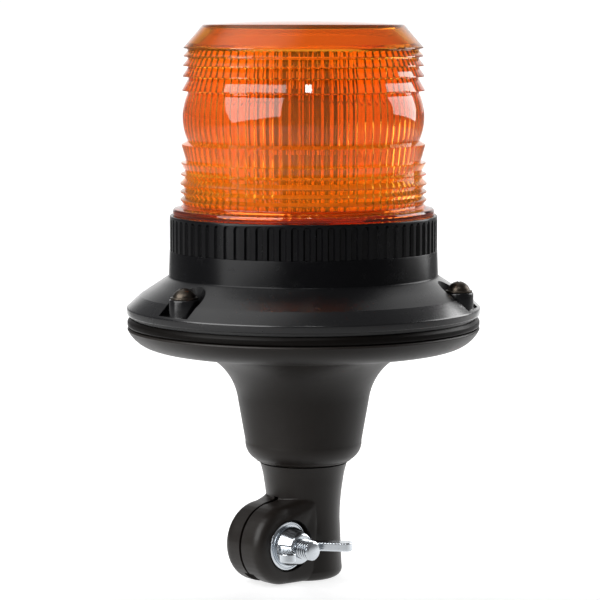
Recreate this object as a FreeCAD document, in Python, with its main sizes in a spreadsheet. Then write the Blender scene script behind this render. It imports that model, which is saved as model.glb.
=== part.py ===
import FreeCAD, Part
import math
import os
import Sketcher

# Pole-mounted amber warning beacon, millimetres.
# Origin: centre of the pole socket's mouth at the bottom, +Z up the pole line.
# The split ear of the clamp points along -X and its bolt lies along Y, free end towards -Y.

doc = FreeCAD.newDocument("Beacon")
sheet = doc.addObject("Spreadsheet::Sheet", "dims")


class Dim:
    """A length that knows both its value and the sheet expression behind it."""

    def __init__(self, value, text):
        self.value = float(value)
        self.text = text

    def __add__(self, other):
        other = dim(other)
        return Dim(self.value + other.value, "(" + self.text + " + " + other.text + ")")

    def __sub__(self, other):
        other = dim(other)
        return Dim(self.value - other.value, "(" + self.text + " - " + other.text + ")")

    def __mul__(self, other):
        other = dim(other)
        return Dim(self.value * other.value, "(" + self.text + " * " + other.text + ")")

    def __truediv__(self, other):
        other = dim(other)
        return Dim(self.value / other.value, "(" + self.text + " / " + other.text + ")")

    def __radd__(self, other):
        return dim(other) + self

    def __rsub__(self, other):
        return dim(other) - self

    def __rmul__(self, other):
        return dim(other) * self

    def __neg__(self):
        return Dim(-self.value, "(0 - " + self.text + ")")


def dim(value):
    if isinstance(value, Dim):
        return value
    return Dim(value, "%.6f" % value)


rows = [1]


def cell(alias, value, note):
    """Write one named size into the sheet and hand it back."""
    row = rows[0]
    rows[0] = row + 1
    sheet.set("A%d" % row, note)
    sheet.set("B%d" % row, str(value))
    sheet.setAlias("B%d" % row, alias)
    return Dim(value, "dims." + alias)


def origin_part(body, role):
    for item in body.Origin.OriginFeatures:
        if item.Role == role:
            return item
    raise RuntimeError("no " + role)


def new_body(label, group=False):
    body = doc.addObject("PartDesign::Body", label)
    body.Label = label
    if group:
        body.AllowCompound = True
    return body


def new_sketch(body, name, plane, lift):
    sketch = body.newObject("Sketcher::SketchObject", body.Label + "_" + name)
    sketch.AttachmentSupport = [(origin_part(body, plane), "")]
    sketch.MapMode = "FlatFace"
    if lift is not None:
        sketch.setExpression("AttachmentOffset.Base.z", dim(lift).text)
    return sketch


def place(sketch, geo, end, u, v):
    """Dimension one sketch point from the sketch origin."""
    for axis, size in (("X", u), ("Y", v)):
        size = dim(size)
        index = sketch.addConstraint(
            Sketcher.Constraint("Distance" + axis, -1, 1, geo, end, size.value))
        sketch.setExpression("Constraints[%d]" % index, size.text)


def arc_centre(start, stop, radius, side):
    """Centre of the arc from start to stop; side +1 puts it left of the run."""
    du = stop[0] - start[0]
    dv = stop[1] - start[1]
    chord = math.hypot(du, dv)
    rise = math.sqrt(max(radius * radius - chord * chord / 4.0, 0.0))
    return ((start[0] + stop[0]) / 2.0 - side * rise * dv / chord,
            (start[1] + stop[1]) / 2.0 + side * rise * du / chord)


def outline(body, name, plane, points, lift=None):
    """Closed outline. A point (u, v) starts a straight run, (u, v, radius, side) an arc."""
    sketch = new_sketch(body, name, plane, lift)
    count = len(points)
    corner = [(dim(p[0]).value, dim(p[1]).value) for p in points]
    ends = []
    for i in range(count):
        start = corner[i]
        stop = corner[(i + 1) % count]
        if len(points[i]) == 2:
            line = Part.LineSegment(FreeCAD.Vector(start[0], start[1], 0),
                                    FreeCAD.Vector(stop[0], stop[1], 0))
            sketch.addGeometry(line, False)
            ends.append((1, 2))
            continue
        side = points[i][3]
        centre = arc_centre(start, stop, dim(points[i][2]).value, side)
        circle = Part.Circle(FreeCAD.Vector(centre[0], centre[1], 0),
                             FreeCAD.Vector(0, 0, 1), dim(points[i][2]).value)
        first = math.atan2(start[1] - centre[1], start[0] - centre[0])
        last = math.atan2(stop[1] - centre[1], stop[0] - centre[0])
        if side > 0:
            sketch.addGeometry(Part.ArcOfCircle(circle, first, last), False)
            ends.append((1, 2))
        else:
            sketch.addGeometry(Part.ArcOfCircle(circle, last, first), False)
            ends.append((2, 1))
    for i in range(count):
        following = (i + 1) % count
        sketch.addConstraint(
            Sketcher.Constraint("Coincident", i, ends[i][1], following, ends[following][0]))
    for i in range(count):
        place(sketch, i, ends[i][0], points[i][0], points[i][1])
        if len(points[i]) == 2:
            continue
        radius = dim(points[i][2])
        following = (i + 1) % count
        chord = math.hypot(corner[following][0] - corner[i][0], corner[following][1] - corner[i][1])
        if chord < 2 * radius.value - 1e-4:
            index = sketch.addConstraint(Sketcher.Constraint("Radius", i, radius.value))
            sketch.setExpression("Constraints[%d]" % index, radius.text)
            continue
        upright = abs(corner[following][0] - corner[i][0]) < abs(corner[following][1] - corner[i][1])
        part = 0 if upright else 1
        middle = (dim(points[i][part]) + points[following][part]) / 2
        axis = "X" if upright else "Y"
        index = sketch.addConstraint(Sketcher.Constraint("Distance" + axis, -1, 1, i, 3, middle.value))
        sketch.setExpression("Constraints[%d]" % index, middle.text)
    return sketch


def discs(body, name, plane, circles, lift=None):
    """Circles given as (u, v, radius)."""
    sketch = new_sketch(body, name, plane, lift)
    for i, (u, v, radius) in enumerate(circles):
        centre = FreeCAD.Vector(dim(u).value, dim(v).value, 0)
        sketch.addGeometry(Part.Circle(centre, FreeCAD.Vector(0, 0, 1), dim(radius).value), False)
        place(sketch, i, 3, u, v)
        index = sketch.addConstraint(Sketcher.Constraint("Radius", i, dim(radius).value))
        sketch.setExpression("Constraints[%d]" % index, dim(radius).text)
    return sketch


def rectangle(u, v, width, height):
    """Corners of a rectangle about the centre (u, v)."""
    return [(dim(u) - width / 2, dim(v) - height / 2), (dim(u) + width / 2, dim(v) - height / 2),
            (dim(u) + width / 2, dim(v) + height / 2), (dim(u) - width / 2, dim(v) + height / 2)]


def hexagon(u, v, flats):
    """Corners of a hexagon standing on a flat, `flats` across."""
    radius = flats / 2 / math.cos(math.radians(30))
    return [(dim(u) + radius * math.cos(math.radians(60 * k)),
             dim(v) + radius * math.sin(math.radians(60 * k))) for k in range(6)]


def add_feature(body, kind, sketch, name, length, back=False):
    """Pad or pocket to a length; a pocket must take material away and a pad must add it."""
    doc.recompute()
    before = body.Shape.Volume if body.Tip and body.Tip != sketch and not body.Shape.isNull() else 0.0
    feature = body.newObject(kind, body.Label + "_" + name)
    feature.Profile = sketch
    feature.setExpression("Length", dim(length).text)
    feature.Reversed = back
    doc.recompute()
    after = feature.Shape.Volume
    if kind == "PartDesign::Pocket" and after >= before - 1e-6:
        raise RuntimeError(feature.Name + " removes nothing")
    if kind == "PartDesign::Pad" and after <= before + 1e-6:
        raise RuntimeError(feature.Name + " adds nothing")
    return feature


def pad(body, sketch, name, length, back=False):
    return add_feature(body, "PartDesign::Pad", sketch, name, length, back)


def pocket(body, sketch, name, length, back=False):
    return add_feature(body, "PartDesign::Pocket", sketch, name, length, back)


def leg(radius, rise):
    """The other side of the right triangle: where a ball of this radius is cut at this distance."""
    return math.sqrt(dim(radius).value ** 2 - dim(rise).value ** 2)


def thirds(place, phase, radius):
    """Three circles evenly round the axis."""
    spots = []
    for k in range(3):
        angle = math.radians(phase.value + 120 * k)
        spots.append((place * math.cos(angle), place * math.sin(angle), radius))
    return spots


def turn(body, sketch, name, kind="PartDesign::Revolution", axis="V_Axis"):
    feature = body.newObject(kind, body.Label + "_" + name)
    feature.Profile = sketch
    feature.ReferenceAxis = (sketch, [axis])
    feature.Angle = 360
    doc.recompute()
    return feature


def pattern(body, originals, name, count):
    """Repeat features round the body's own Z axis."""
    feature = body.newObject("PartDesign::PolarPattern", body.Label + "_" + name)
    feature.Originals = originals
    feature.Axis = (origin_part(body, "Z_Axis"), [""])
    feature.Angle = 360
    feature.setExpression("Occurrences", dim(count).text)
    body.Tip = feature
    doc.recompute()
    return feature


def swing(body, angle):
    """Rotate the whole body about Z."""
    body.Placement = FreeCAD.Placement(FreeCAD.Vector(0, 0, 0),
                                       FreeCAD.Rotation(FreeCAD.Vector(0, 0, 1), dim(angle).value))
    body.setExpression(".Placement.Rotation.Angle", dim(angle).text)


def round_edges(body, base, name, radius, chosen):
    """Fillet the edges of `base` that the test `chosen` picks."""
    names = []
    for i, edge in enumerate(base.Shape.Edges):
        if chosen(edge):
            names.append("Edge%d" % (i + 1))
    feature = body.newObject("PartDesign::Fillet", body.Label + "_" + name)
    feature.Base = (base, names)
    feature.setExpression("Radius", dim(radius).text)
    doc.recompute()
    return feature


# ---------------------------------------------------------------- driving sizes
# clamp and pole socket
socket_radius = cell("socket_radius", 12.15, "pole socket bore radius, for a 24 mm pole")
socket_grip = cell("socket_grip", 22, "length of the gripping bore")
relief_radius = cell("relief_radius", 12.6, "bore radius above the grip")
relief_top = cell("relief_top", 36, "top of the pole socket")
pivot_z = cell("pivot_z", 40, "height of the flexing centre")
dome_radius = cell("dome_radius", 17.2, "ball radius on the clamp's head")
shoulder_z = cell("shoulder_z", 47.4, "shoulder under the seam")
shoulder_r = cell("shoulder_r", 18, "radius at the shoulder")
lead_hole = cell("lead_hole", 3.2, "radius of the passage for the leads")
bolt_x = cell("bolt_x", -19.3, "bolt axis, X")
bolt_z = cell("bolt_z", 16.4, "bolt axis, Z")
lobe_radius = cell("lobe_radius", 16.4, "ear radius about the bolt")
cheek_near = cell("cheek_near", 11.4, "outer face of the nut-side cheek from the slit plane")
cheek_far = cell("cheek_far", 10.5, "outer face of the head-side cheek from the slit plane")
ear_round = cell("ear_round", 4, "edge rounding of the ear")
tube_radius = cell("tube_radius", 15, "slimmest radius of the pole tube")
flank_bend = cell("flank_bend", 4, "half length of the bend where the ear widens towards the tube")
ear_root = cell("ear_root", -3, "X where the ear's flanks run into the tube")
ear_slope = cell("ear_slope", 5, "rise of the ear's top where it leaves the round lobe, degrees")
ear_sweep = cell("ear_sweep", 38, "sweep of the ear's top up to the neck")
tube_foot = cell("tube_foot", 13.2, "radius of the tube's flat foot")
tube_flare = cell("tube_flare", 15.8, "radius of the tube over its rounded foot")
tube_flare_z = cell("tube_flare_z", 4.5, "height of the tube's foot radius")
tube_waist_z = cell("tube_waist_z", 24, "height of the tube's slimmest point")
foot_round = cell("foot_round", 3.6, "rounding of the tube's foot")
tube_sweep = cell("tube_sweep", 100, "sweep of the tube from foot to waist")
neck_sweep = cell("neck_sweep", 38, "sweep from the neck into its shoulder")
neck_radius = cell("neck_radius", 16.35, "neck radius at the flexing centre")
slit_width = cell("slit_width", 1.2, "width of the clamp slit")
slit_top = cell("slit_top", 34.6, "top of the clamp slit")
notch_width = cell("notch_width", 2.2, "width and height of the relief notch at the top of the slit")
relief_width = cell("relief_width", 5, "relief at the foot of the slit")
relief_height = cell("relief_height", 4.4, "height of the relief at the foot of the slit")
bolt_hole = cell("bolt_hole", 4.25, "clearance hole radius for the bolt")
recess_radius = cell("recess_radius", 10.7, "spot-face radius for the washer")
recess_floor = cell("recess_floor", 9.9, "spot-face floor from the slit plane")
head_floor = cell("head_floor", 5, "seat of the bolt head from the slit plane")
# clamp fastener
bolt_radius = cell("bolt_radius", 3.96, "M8 bolt radius")
bolt_end = cell("bolt_end", 26.3, "free end of the bolt from the slit plane")
bolt_flats = cell("bolt_flats", 13, "bolt head across flats")
bolt_head = cell("bolt_head", 5.3, "bolt head height")
washer_radius = cell("washer_radius", 10, "washer outer radius")
washer_bore = cell("washer_bore", 4.2, "washer bore radius")
washer_thick = cell("washer_thick", 1.6, "washer thickness")
nut_bore = cell("nut_bore", 4.02, "wing nut thread bore radius")
nut_foot = cell("nut_foot", 8, "wing nut hub radius at the seat")
nut_neck = cell("nut_neck", 6.2, "wing nut hub radius at the top")
nut_height = cell("nut_height", 8, "wing nut hub height")
wing_root = cell("wing_root", 7, "where a wing leaves the hub, from the bolt axis")
wing_elbow = cell("wing_elbow", 12.5, "elbow of a wing's lower edge, from the bolt axis")
wing_low = cell("wing_low", 14, "lower end of the wing tip's round, above the seat")
wing_high = cell("wing_high", 18.9, "upper end of the wing tip's round, above the seat")
wing_reach = cell("wing_reach", 18.6, "lower end of the wing tip's round, from the bolt axis")
wing_tip = cell("wing_tip", 3.4, "radius of the wing tip")
wing_thick = cell("wing_thick", 3.6, "wing thickness")
# contacts
carrier_radius = cell("carrier_radius", 12.3, "contact carrier radius")
carrier_low = cell("carrier_low", 31, "underside of the contact carrier")
collar_radius = cell("collar_radius", 4.6, "collar round the centre contact")
collar_low = cell("collar_low", 27.4, "foot of the collar round the centre contact")
contact_radius = cell("contact_radius", 2.4, "centre contact radius")
contact_tip = cell("contact_tip", 1.5, "radius of the centre contact's tip")
contact_tail = cell("contact_tail", 1.5, "how far the centre contact stands over its carrier")
contact_low = cell("contact_low", 23.8, "tip of the centre contact")
earth_radius = cell("earth_radius", 11.4, "earth contact ring radius")
earth_low = cell("earth_low", 25.2, "foot of the earth contact ring")
earth_wall = cell("earth_wall", 0.7, "wall of the earth contact ring")
lead_radius = cell("lead_radius", 0.95, "insulated lead radius")
lead_offset = cell("lead_offset", 1.35, "lead centre from the axis")
lead_gap_low = cell("lead_gap_low", 56.4, "top of the clamp's leads, under the flexing seat")
lead_gap_top = cell("lead_gap_top", 60.6, "foot of the beacon's leads, over the flexing seat")
# flexing seat
liner_inner = cell("liner_inner", 17.5, "liner inner ball radius")
liner_outer = cell("liner_outer", 19.5, "liner outer ball radius")
liner_low = cell("liner_low", 52.2, "lower edge of the liner")
liner_eye = cell("liner_eye", 4.2, "hole in the liner for the leads")
ball_seat = cell("ball_seat", 19.8, "ball seat radius in the mount")
seat_mouth = cell("seat_mouth", 47.9, "mouth of the ball seat")
# flexible mount
mount_top = cell("mount_top", 103.9, "top face of the flexible mount")
mount_radius = cell("mount_radius", 72.4, "greatest radius of the mount")
mount_recess = cell("mount_recess", 58, "recess radius under the base")
mount_floor = cell("mount_floor", 98.4, "floor of the recess under the base")
mount_web = cell("mount_web", 64, "top of the web over the ball seat")
chin_r = cell("chin_r", 20, "radius where the mount's chin starts")
chin_z = cell("chin_z", 49.1, "height where the mount's chin starts")
chin_round = cell("chin_round", 8, "rounding of the chin")
waist_r = cell("waist_r", 24, "radius at the top of the chin")
waist_z = cell("waist_z", 56.6, "height at the top of the chin")
throat_r = cell("throat_r", 27, "radius where the trumpet starts to open")
throat_z = cell("throat_z", 73.8, "height where the trumpet starts to open")
throat_round = cell("throat_round", 24, "sweep of the opening trumpet")
bell_r = cell("bell_r", 43, "radius where the trumpet flattens")
bell_z = cell("bell_z", 93.3, "height where the trumpet flattens")
bell_round = cell("bell_round", 80, "sweep of the flat underside")
brim_r = cell("brim_r", 60, "radius where the brim turns up")
brim_z = cell("brim_z", 95.4, "height where the brim turns up")
brim_round = cell("brim_round", 13.6, "rounding of the brim")
funnel_r = cell("funnel_r", 37, "radius of the funnel inside the mount")
funnel_top = cell("funnel_top", 97, "height of the funnel's mouth")
funnel_foot = cell("funnel_foot", 20, "radius of the funnel's foot")
funnel_round = cell("funnel_round", 52, "sweep of the funnel inside the mount")
# base
base_bottom = cell("base_bottom", 107.7, "underside of the base")
base_top = cell("base_top", 149.5, "rim of the base under the lens")
rim_radius = cell("rim_radius", 72.4, "radius of the base rim")
rim_low = cell("rim_low", 109.1, "underside of the base rim")
rim_top = cell("rim_top", 111.8, "top edge of the base rim")
crease_r = cell("crease_r", 66.9, "crease radius on the base cone")
crease_z = cell("crease_z", 117, "crease height on the base cone")
wall_radius = cell("wall_radius", 54.8, "radius of the smooth base wall")
wall_low = cell("wall_low", 125, "foot of the smooth base wall")
rib_low = cell("rib_low", 135.4, "foot of the ribbed grip")
rib_radius = cell("rib_radius", 54.6, "radius over the ribs")
rib_count = cell("rib_count", 72, "number of grip ribs")
rib_depth = cell("rib_depth", 1.0, "depth of the grooves between ribs")
rib_groove = cell("rib_groove", 2.5, "width of the grooves between ribs")
rib_land = cell("rib_land", 0.9, "plain land over the grooves")
chamber_radius = cell("chamber_radius", 44, "radius of the driver chamber")
chamber_floor = cell("chamber_floor", 110.4, "floor of the driver chamber")
ledge_z = cell("ledge_z", 141, "ledge under the reflector")
bayonet_radius = cell("bayonet_radius", 52.6, "radius of the bayonet channel")
bayonet_top = cell("bayonet_top", 146, "top of the bayonet channel")
throat_radius = cell("throat_radius", 51, "throat over the bayonet channel")
seal_inner = cell("seal_inner", 52.2, "inner radius of the seal groove")
seal_outer = cell("seal_outer", 53.2, "outer radius of the seal groove")
seal_floor = cell("seal_floor", 148.4, "floor of the seal groove")
entry_radius = cell("entry_radius", 52, "outer radius of the bayonet entries")
pcd_radius = cell("pcd_radius", 65, "fixing screws from the axis, on a 130 mm circle")
boss_radius = cell("boss_radius", 6, "screw boss radius")
boss_top = cell("boss_top", 119.6, "top of the screw bosses")
pit_radius = cell("pit_radius", 8.4, "recess radius round a boss")
pit_floor = cell("pit_floor", 112.8, "floor of the recess round a boss")
screw_hole = cell("screw_hole", 2.75, "clearance hole radius for the fixing screws")
screw_phase = cell("screw_phase", 60, "polar angle of the first fixing screw")
vent_phase = cell("vent_phase", 120, "polar angle of the drain notch")
vent_place = cell("vent_place", 67.5, "drain notch from the axis")
vent_radius = cell("vent_radius", 3.2, "radius of the drain notch")
vent_floor = cell("vent_floor", 113.6, "floor of the drain notch")
# fixings
screw_radius = cell("screw_radius", 2.4, "fixing screw radius")
screw_head = cell("screw_head", 4.6, "fixing screw head radius")
screw_rise = cell("screw_rise", 3.7, "fixing screw head height")
screw_foot = cell("screw_foot", 100.4, "tip of the fixing screws")
lip_radius = cell("lip_radius", 5.5, "small washer radius")
lip_thick = cell("lip_thick", 0.8, "small washer thickness")
insert_radius = cell("insert_radius", 3.6, "brass insert radius")
insert_low = cell("insert_low", 99.9, "foot of the brass inserts")
# driver and light source
board_radius = cell("board_radius", 41, "driver board radius")
board_low = cell("board_low", 118.4, "underside of the driver board")
board_thick = cell("board_thick", 1.6, "driver board thickness")
post_radius = cell("post_radius", 3.6, "board post radius")
post_place = cell("post_place", 35, "board posts from the axis")
post_hole = cell("post_hole", 1.5, "screw hole radius in a board post")
post_phase = cell("post_phase", 20, "polar angle of the first post")
terminal_length = cell("terminal_length", 12, "terminal block length")
terminal_width = cell("terminal_width", 8, "terminal block width")
terminal_rise = cell("terminal_rise", 7, "terminal block height under the board")
can_radius = cell("can_radius", 5, "capacitor radius")
can_height = cell("can_height", 14, "capacitor height")
can_place = cell("can_place", -26, "capacitors, X")
can_first = cell("can_first", 10, "first capacitor, Y")
can_second = cell("can_second", -3, "second capacitor, Y")
coil_radius = cell("coil_radius", 7.5, "inductor radius")
coil_bore = cell("coil_bore", 3, "inductor bore radius")
coil_height = cell("coil_height", 7, "inductor height")
coil_place_x = cell("coil_place_x", 18, "inductor, X")
coil_place_y = cell("coil_place_y", -22, "inductor, Y")
package_height = cell("package_height", 1.8, "height of the driver's chips")
tower_flats = cell("tower_flats", 20, "light tower across flats")
tower_flange = cell("tower_flange", 3, "thickness of the tower foot")
tower_thread = cell("tower_thread", 1.6, "radius of the threaded hole in the tower's top")
strip_phase = cell("strip_phase", 30, "polar angle of the first emitter strip")
strip_count = cell("strip_count", 6, "emitter strips round the tower")
tower_top = cell("tower_top", 206, "top of the light tower")
tower_foot = cell("tower_foot", 15, "tower foot radius")
strip_width = cell("strip_width", 10.6, "emitter strip width")
strip_thick = cell("strip_thick", 1.2, "emitter strip thickness")
strip_low = cell("strip_low", 152, "foot of the emitter strips")
chip_size = cell("chip_size", 5, "emitter side")
chip_thick = cell("chip_thick", 1.1, "emitter thickness")
chip_low = cell("chip_low", 166, "lowest emitter centre")
chip_step = cell("chip_step", 14, "emitter spacing")
cap_radius = cell("cap_radius", 12.6, "tower cap radius")
cap_thick = cell("cap_thick", 2.6, "tower cap thickness")
cap_bore = cell("cap_bore", 1.9, "hole radius in the tower cap")
cap_screw_r = cell("cap_screw_r", 1.5, "cap screw radius")
cap_screw_head = cell("cap_screw_head", 3.2, "cap screw head radius")
dish_radius = cell("dish_radius", 47.4, "reflector flange radius")
dish_hole = cell("dish_hole", 13.2, "reflector centre hole")
dish_crown = cell("dish_crown", 149.6, "reflector height at the tower")
dish_skin = cell("dish_skin", 1.4, "thickness of the reflector")
dish_foot = cell("dish_foot", 41, "radius where the reflector meets its flange")
dish_sweep = cell("dish_sweep", 120, "sweep of the reflector's face")
# lens
lens_inner = cell("lens_inner", 45.3, "lens inner radius between flutes")
flute_count = cell("flute_count", 80, "vertical flutes inside the lens")
flute_round = cell("flute_round", 1.9, "flute section radius")
flute_half = cell("flute_half", 1.5, "half width of a flute")
flute_low = cell("flute_low", 153.5, "foot of the flutes")
flute_top = cell("flute_top", 216.5, "top of the flutes")
lens_top = cell("lens_top", 228.2, "crown of the lens")
lens_skin = cell("lens_skin", 2.6, "thickness of the lens top")
flange_top = cell("flange_top", 152.3, "top of the lens flange")
skirt_outer = cell("skirt_outer", 50.6, "bayonet skirt outer radius")
skirt_inner = cell("skirt_inner", 48.6, "bayonet skirt inner radius")
skirt_low = cell("skirt_low", 143, "foot of the bayonet skirt")
lug_radius = cell("lug_radius", 51.75, "bayonet lug radius")
lug_thick = cell("lug_thick", 2.6, "bayonet lug thickness")
lug_half = cell("lug_half", 7, "half width of a bayonet lug")
entry_half = cell("entry_half", 7.9, "half width of a bayonet entry")
twist = cell("twist", 30, "bayonet twist from locked to free, degrees")
doc.recompute()

nodes = []

# ---------------------------------------------------------------- clamp body
clamp = new_body("clamp_body")


def flank_wedge(name, side, cheek):
    """Plan of what lies beyond one flank of the ear, which runs out from the bolt to touch the tube."""
    reach = math.hypot(bolt_x.value, cheek.value)
    slope = math.pi / 2 - math.atan2(cheek.value, -bolt_x.value) - math.acos(tube_radius.value / reach)
    clear = cheek + 12
    stop = ear_root + 1
    return outline(clamp, name, "XY_Plane", [
        (-40, side * cheek),
        (bolt_x - flank_bend, side * cheek, flank_bend / math.tan(slope / 2), side),
        (bolt_x + flank_bend * math.cos(slope), side * (cheek + flank_bend * math.sin(slope))),
        (stop, side * (cheek + (stop - bolt_x) * math.tan(slope))),
        (stop, side * clear), (-40, side * clear)], -1)


def ear_rim(edge):
    box = edge.BoundBox
    outer = box.YMin > cheek_far.value - 1 or box.YMax < 1 - cheek_near.value
    return outer and box.XLength > 0.01


rise = math.radians(ear_slope.value)
crest_x = bolt_x - lobe_radius * math.sin(rise)
crest_z = bolt_z + lobe_radius * math.cos(rise)
sweep_x = bolt_x - (lobe_radius + ear_sweep) * math.sin(rise)
sweep_z = bolt_z + (lobe_radius + ear_sweep) * math.cos(rise)
ear = outline(clamp, "ear", "XZ_Plane", [
    (bolt_x, 0), (ear_root, 0),
    (ear_root, sweep_z - leg(ear_sweep, ear_root - sweep_x), ear_sweep, -1),
    (crest_x, crest_z, lobe_radius, 1)], -(cheek_far + 5))
pad(clamp, ear, "ear_pad", cheek_far + cheek_near + 10)
near_wedge = flank_wedge("near_flank", -1, cheek_near)
pocket(clamp, near_wedge, "near_flank_cut", 50, True)
far_wedge = flank_wedge("far_flank", 1, cheek_far)
far_cut = pocket(clamp, far_wedge, "far_flank_cut", 50, True)
round_edges(clamp, far_cut, "ear_round", ear_round, ear_rim)
tube = outline(clamp, "tube", "XZ_Plane", [
    (0, 0), (tube_foot, 0, foot_round, 1), (tube_flare, tube_flare_z),
    (tube_radius, tube_waist_z, tube_sweep, -1),
    (neck_radius, pivot_z, neck_sweep, -1), (shoulder_r, shoulder_z),
    (leg(dome_radius, shoulder_z - pivot_z), shoulder_z, dome_radius, 1),
    (0, pivot_z + dome_radius)])
turn(clamp, tube, "tube_turn")
bore = outline(clamp, "bore", "XZ_Plane", [
    (0, -1), (socket_radius + 1.2, -1), (socket_radius, 0.9), (socket_radius, socket_grip),
    (relief_radius, socket_grip + 0.6), (relief_radius, relief_top), (lead_hole, relief_top),
    (lead_hole, pivot_z + dome_radius + 1), (0, pivot_z + dome_radius + 1)])
turn(clamp, bore, "bore_cut", "PartDesign::Groove")
slit = outline(clamp, "slit", "XZ_Plane", [
    (-40, -1), (-8, -1), (-8, slit_top), (-40, slit_top)], -slit_width / 2)
pocket(clamp, slit, "slit_cut", slit_width, True)
notch = outline(clamp, "notch", "XZ_Plane", [
    (-40, slit_top - notch_width), (-8, slit_top - notch_width), (-8, slit_top), (-40, slit_top)],
    -notch_width / 2)
pocket(clamp, notch, "notch_cut", notch_width, True)
foot = outline(clamp, "foot", "XZ_Plane", [
    (-40, -1), (-8, -1), (-8, relief_height), (-40, relief_height)], -relief_width / 2)
pocket(clamp, foot, "foot_cut", relief_width, True)
hole = discs(clamp, "hole", "XZ_Plane", [(bolt_x, bolt_z, bolt_hole)], -(cheek_far + 1))
pocket(clamp, hole, "hole_cut", cheek_far + cheek_near + 2, True)
spot = discs(clamp, "spot", "XZ_Plane", [(bolt_x, bolt_z, recess_radius)], recess_floor)
pocket(clamp, spot, "spot_cut", 8, True)
seat = outline(clamp, "seat", "XZ_Plane", hexagon(bolt_x, bolt_z, bolt_flats + 0.4), -(cheek_far + 6))
pocket(clamp, seat, "seat_cut", cheek_far + 6 - head_floor, True)
nodes.append(clamp)

# ---------------------------------------------------------------- clamp fastener
bolt = new_body("clamp_bolt")
shank = discs(bolt, "shank", "XZ_Plane", [(bolt_x, bolt_z, bolt_radius)], -(head_floor + 1))
shank_pad = pad(bolt, shank, "shank_pad", head_floor + 1 + bolt_end)
tip_edge = [("Edge%d" % (i + 1)) for i, edge in enumerate(shank_pad.Shape.Edges)
            if edge.BoundBox.YMax < -20 and edge.BoundBox.XLength > 1]
tip = bolt.newObject("PartDesign::Chamfer", "clamp_bolt_tip")
tip.Base = (shank_pad, tip_edge)
tip.Size = 0.8
head = outline(bolt, "head", "XZ_Plane", hexagon(bolt_x, bolt_z, bolt_flats), -(head_floor + bolt_head))
pad(bolt, head, "head_pad", bolt_head)
nodes.append(bolt)

washer = new_body("clamp_washer")
washer_ring = discs(washer, "ring", "XZ_Plane",
                    [(bolt_x, bolt_z, washer_radius), (bolt_x, bolt_z, washer_bore)], recess_floor)
pad(washer, washer_ring, "ring_pad", washer_thick)
nodes.append(washer)

nut_seat = recess_floor + washer_thick
nut = new_body("wing_nut")
nut.Placement = FreeCAD.Placement(FreeCAD.Vector(bolt_x.value, 0, bolt_z.value),
                                  FreeCAD.Rotation(FreeCAD.Vector(1, 0, 0), 90))
nut.setExpression(".Placement.Base.x", bolt_x.text)
nut.setExpression(".Placement.Base.z", bolt_z.text)
right_wing = [
    (wing_root, nut_seat + 1.5), (wing_elbow, nut_seat + nut_height),
    (wing_reach, nut_seat + wing_low, wing_tip, 1), (wing_reach - 4.4, nut_seat + wing_high),
    (nut_neck + 3.3, nut_seat + nut_height + 4.5), (nut_neck + 0.3, nut_seat + nut_height + 0.5)]
left_wing = [
    (-nut_neck - 0.3, nut_seat + nut_height + 0.5), (-nut_neck - 3.3, nut_seat + nut_height + 4.5),
    (4.4 - wing_reach, nut_seat + wing_high, wing_tip, 1), (-wing_reach, nut_seat + wing_low),
    (-wing_elbow, nut_seat + nut_height), (-wing_root, nut_seat + 1.5)]
wings = outline(nut, "wings", "XZ_Plane", right_wing + left_wing, -wing_thick / 2)
pad(nut, wings, "wing_pad", wing_thick)
hub = outline(nut, "hub", "XZ_Plane", [
    (0, nut_seat), (nut_foot, nut_seat), (nut_foot, nut_seat + 1.2),
    (nut_neck, nut_seat + nut_height - 0.6),
    (nut_neck - 0.6, nut_seat + nut_height), (0, nut_seat + nut_height)])
turn(nut, hub, "hub_turn")
nut_hole = discs(nut, "bore", "XY_Plane", [(0, 0, nut_bore)], nut_seat - 1)
pocket(nut, nut_hole, "bore_cut", nut_height + 4, True)
nodes.append(nut)

# ---------------------------------------------------------------- contacts in the pole socket
carrier = new_body("contact_carrier")
carrier_side = outline(carrier, "side", "XZ_Plane", [
    (contact_radius + 0.1, collar_low), (collar_radius, collar_low), (collar_radius, carrier_low),
    (carrier_radius, carrier_low),
    (carrier_radius, relief_top - 0.05), (contact_radius + 0.1, relief_top - 0.05)])
turn(carrier, carrier_side, "turn")
nodes.append(carrier)

centre = new_body("centre_contact")
centre_side = outline(centre, "side", "XZ_Plane", [
    (0, contact_low), (contact_tip, contact_low), (contact_radius, contact_low + 1),
    (contact_radius, relief_top + contact_tail), (0, relief_top + contact_tail)])
turn(centre, centre_side, "turn")
nodes.append(centre)

earth = new_body("earth_contact")
earth_side = outline(earth, "side", "XZ_Plane", [
    (earth_radius - earth_wall, earth_low), (earth_radius, earth_low), (earth_radius, carrier_low),
    (earth_radius - earth_wall, carrier_low)])
turn(earth, earth_side, "turn")
nodes.append(earth)

socket_leads = new_body("socket_leads", True)
lead_pair = discs(socket_leads, "pair", "XY_Plane",
                  [(lead_offset, 0, lead_radius), (-lead_offset, 0, lead_radius)], relief_top + contact_tail)
pad(socket_leads, lead_pair, "pair_pad", lead_gap_low - relief_top - contact_tail)
nodes.append(socket_leads)

# ---------------------------------------------------------------- flexing seat
liner = new_body("flex_liner")
liner_side = outline(liner, "side", "XZ_Plane", [
    (leg(liner_outer, liner_low - pivot_z), liner_low, liner_outer, 1),
    (liner_eye, pivot_z + leg(liner_outer, liner_eye)),
    (liner_eye, pivot_z + leg(liner_inner, liner_eye), liner_inner, -1),
    (leg(liner_inner, liner_low - pivot_z), liner_low)])
turn(liner, liner_side, "turn")
nodes.append(liner)

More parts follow.
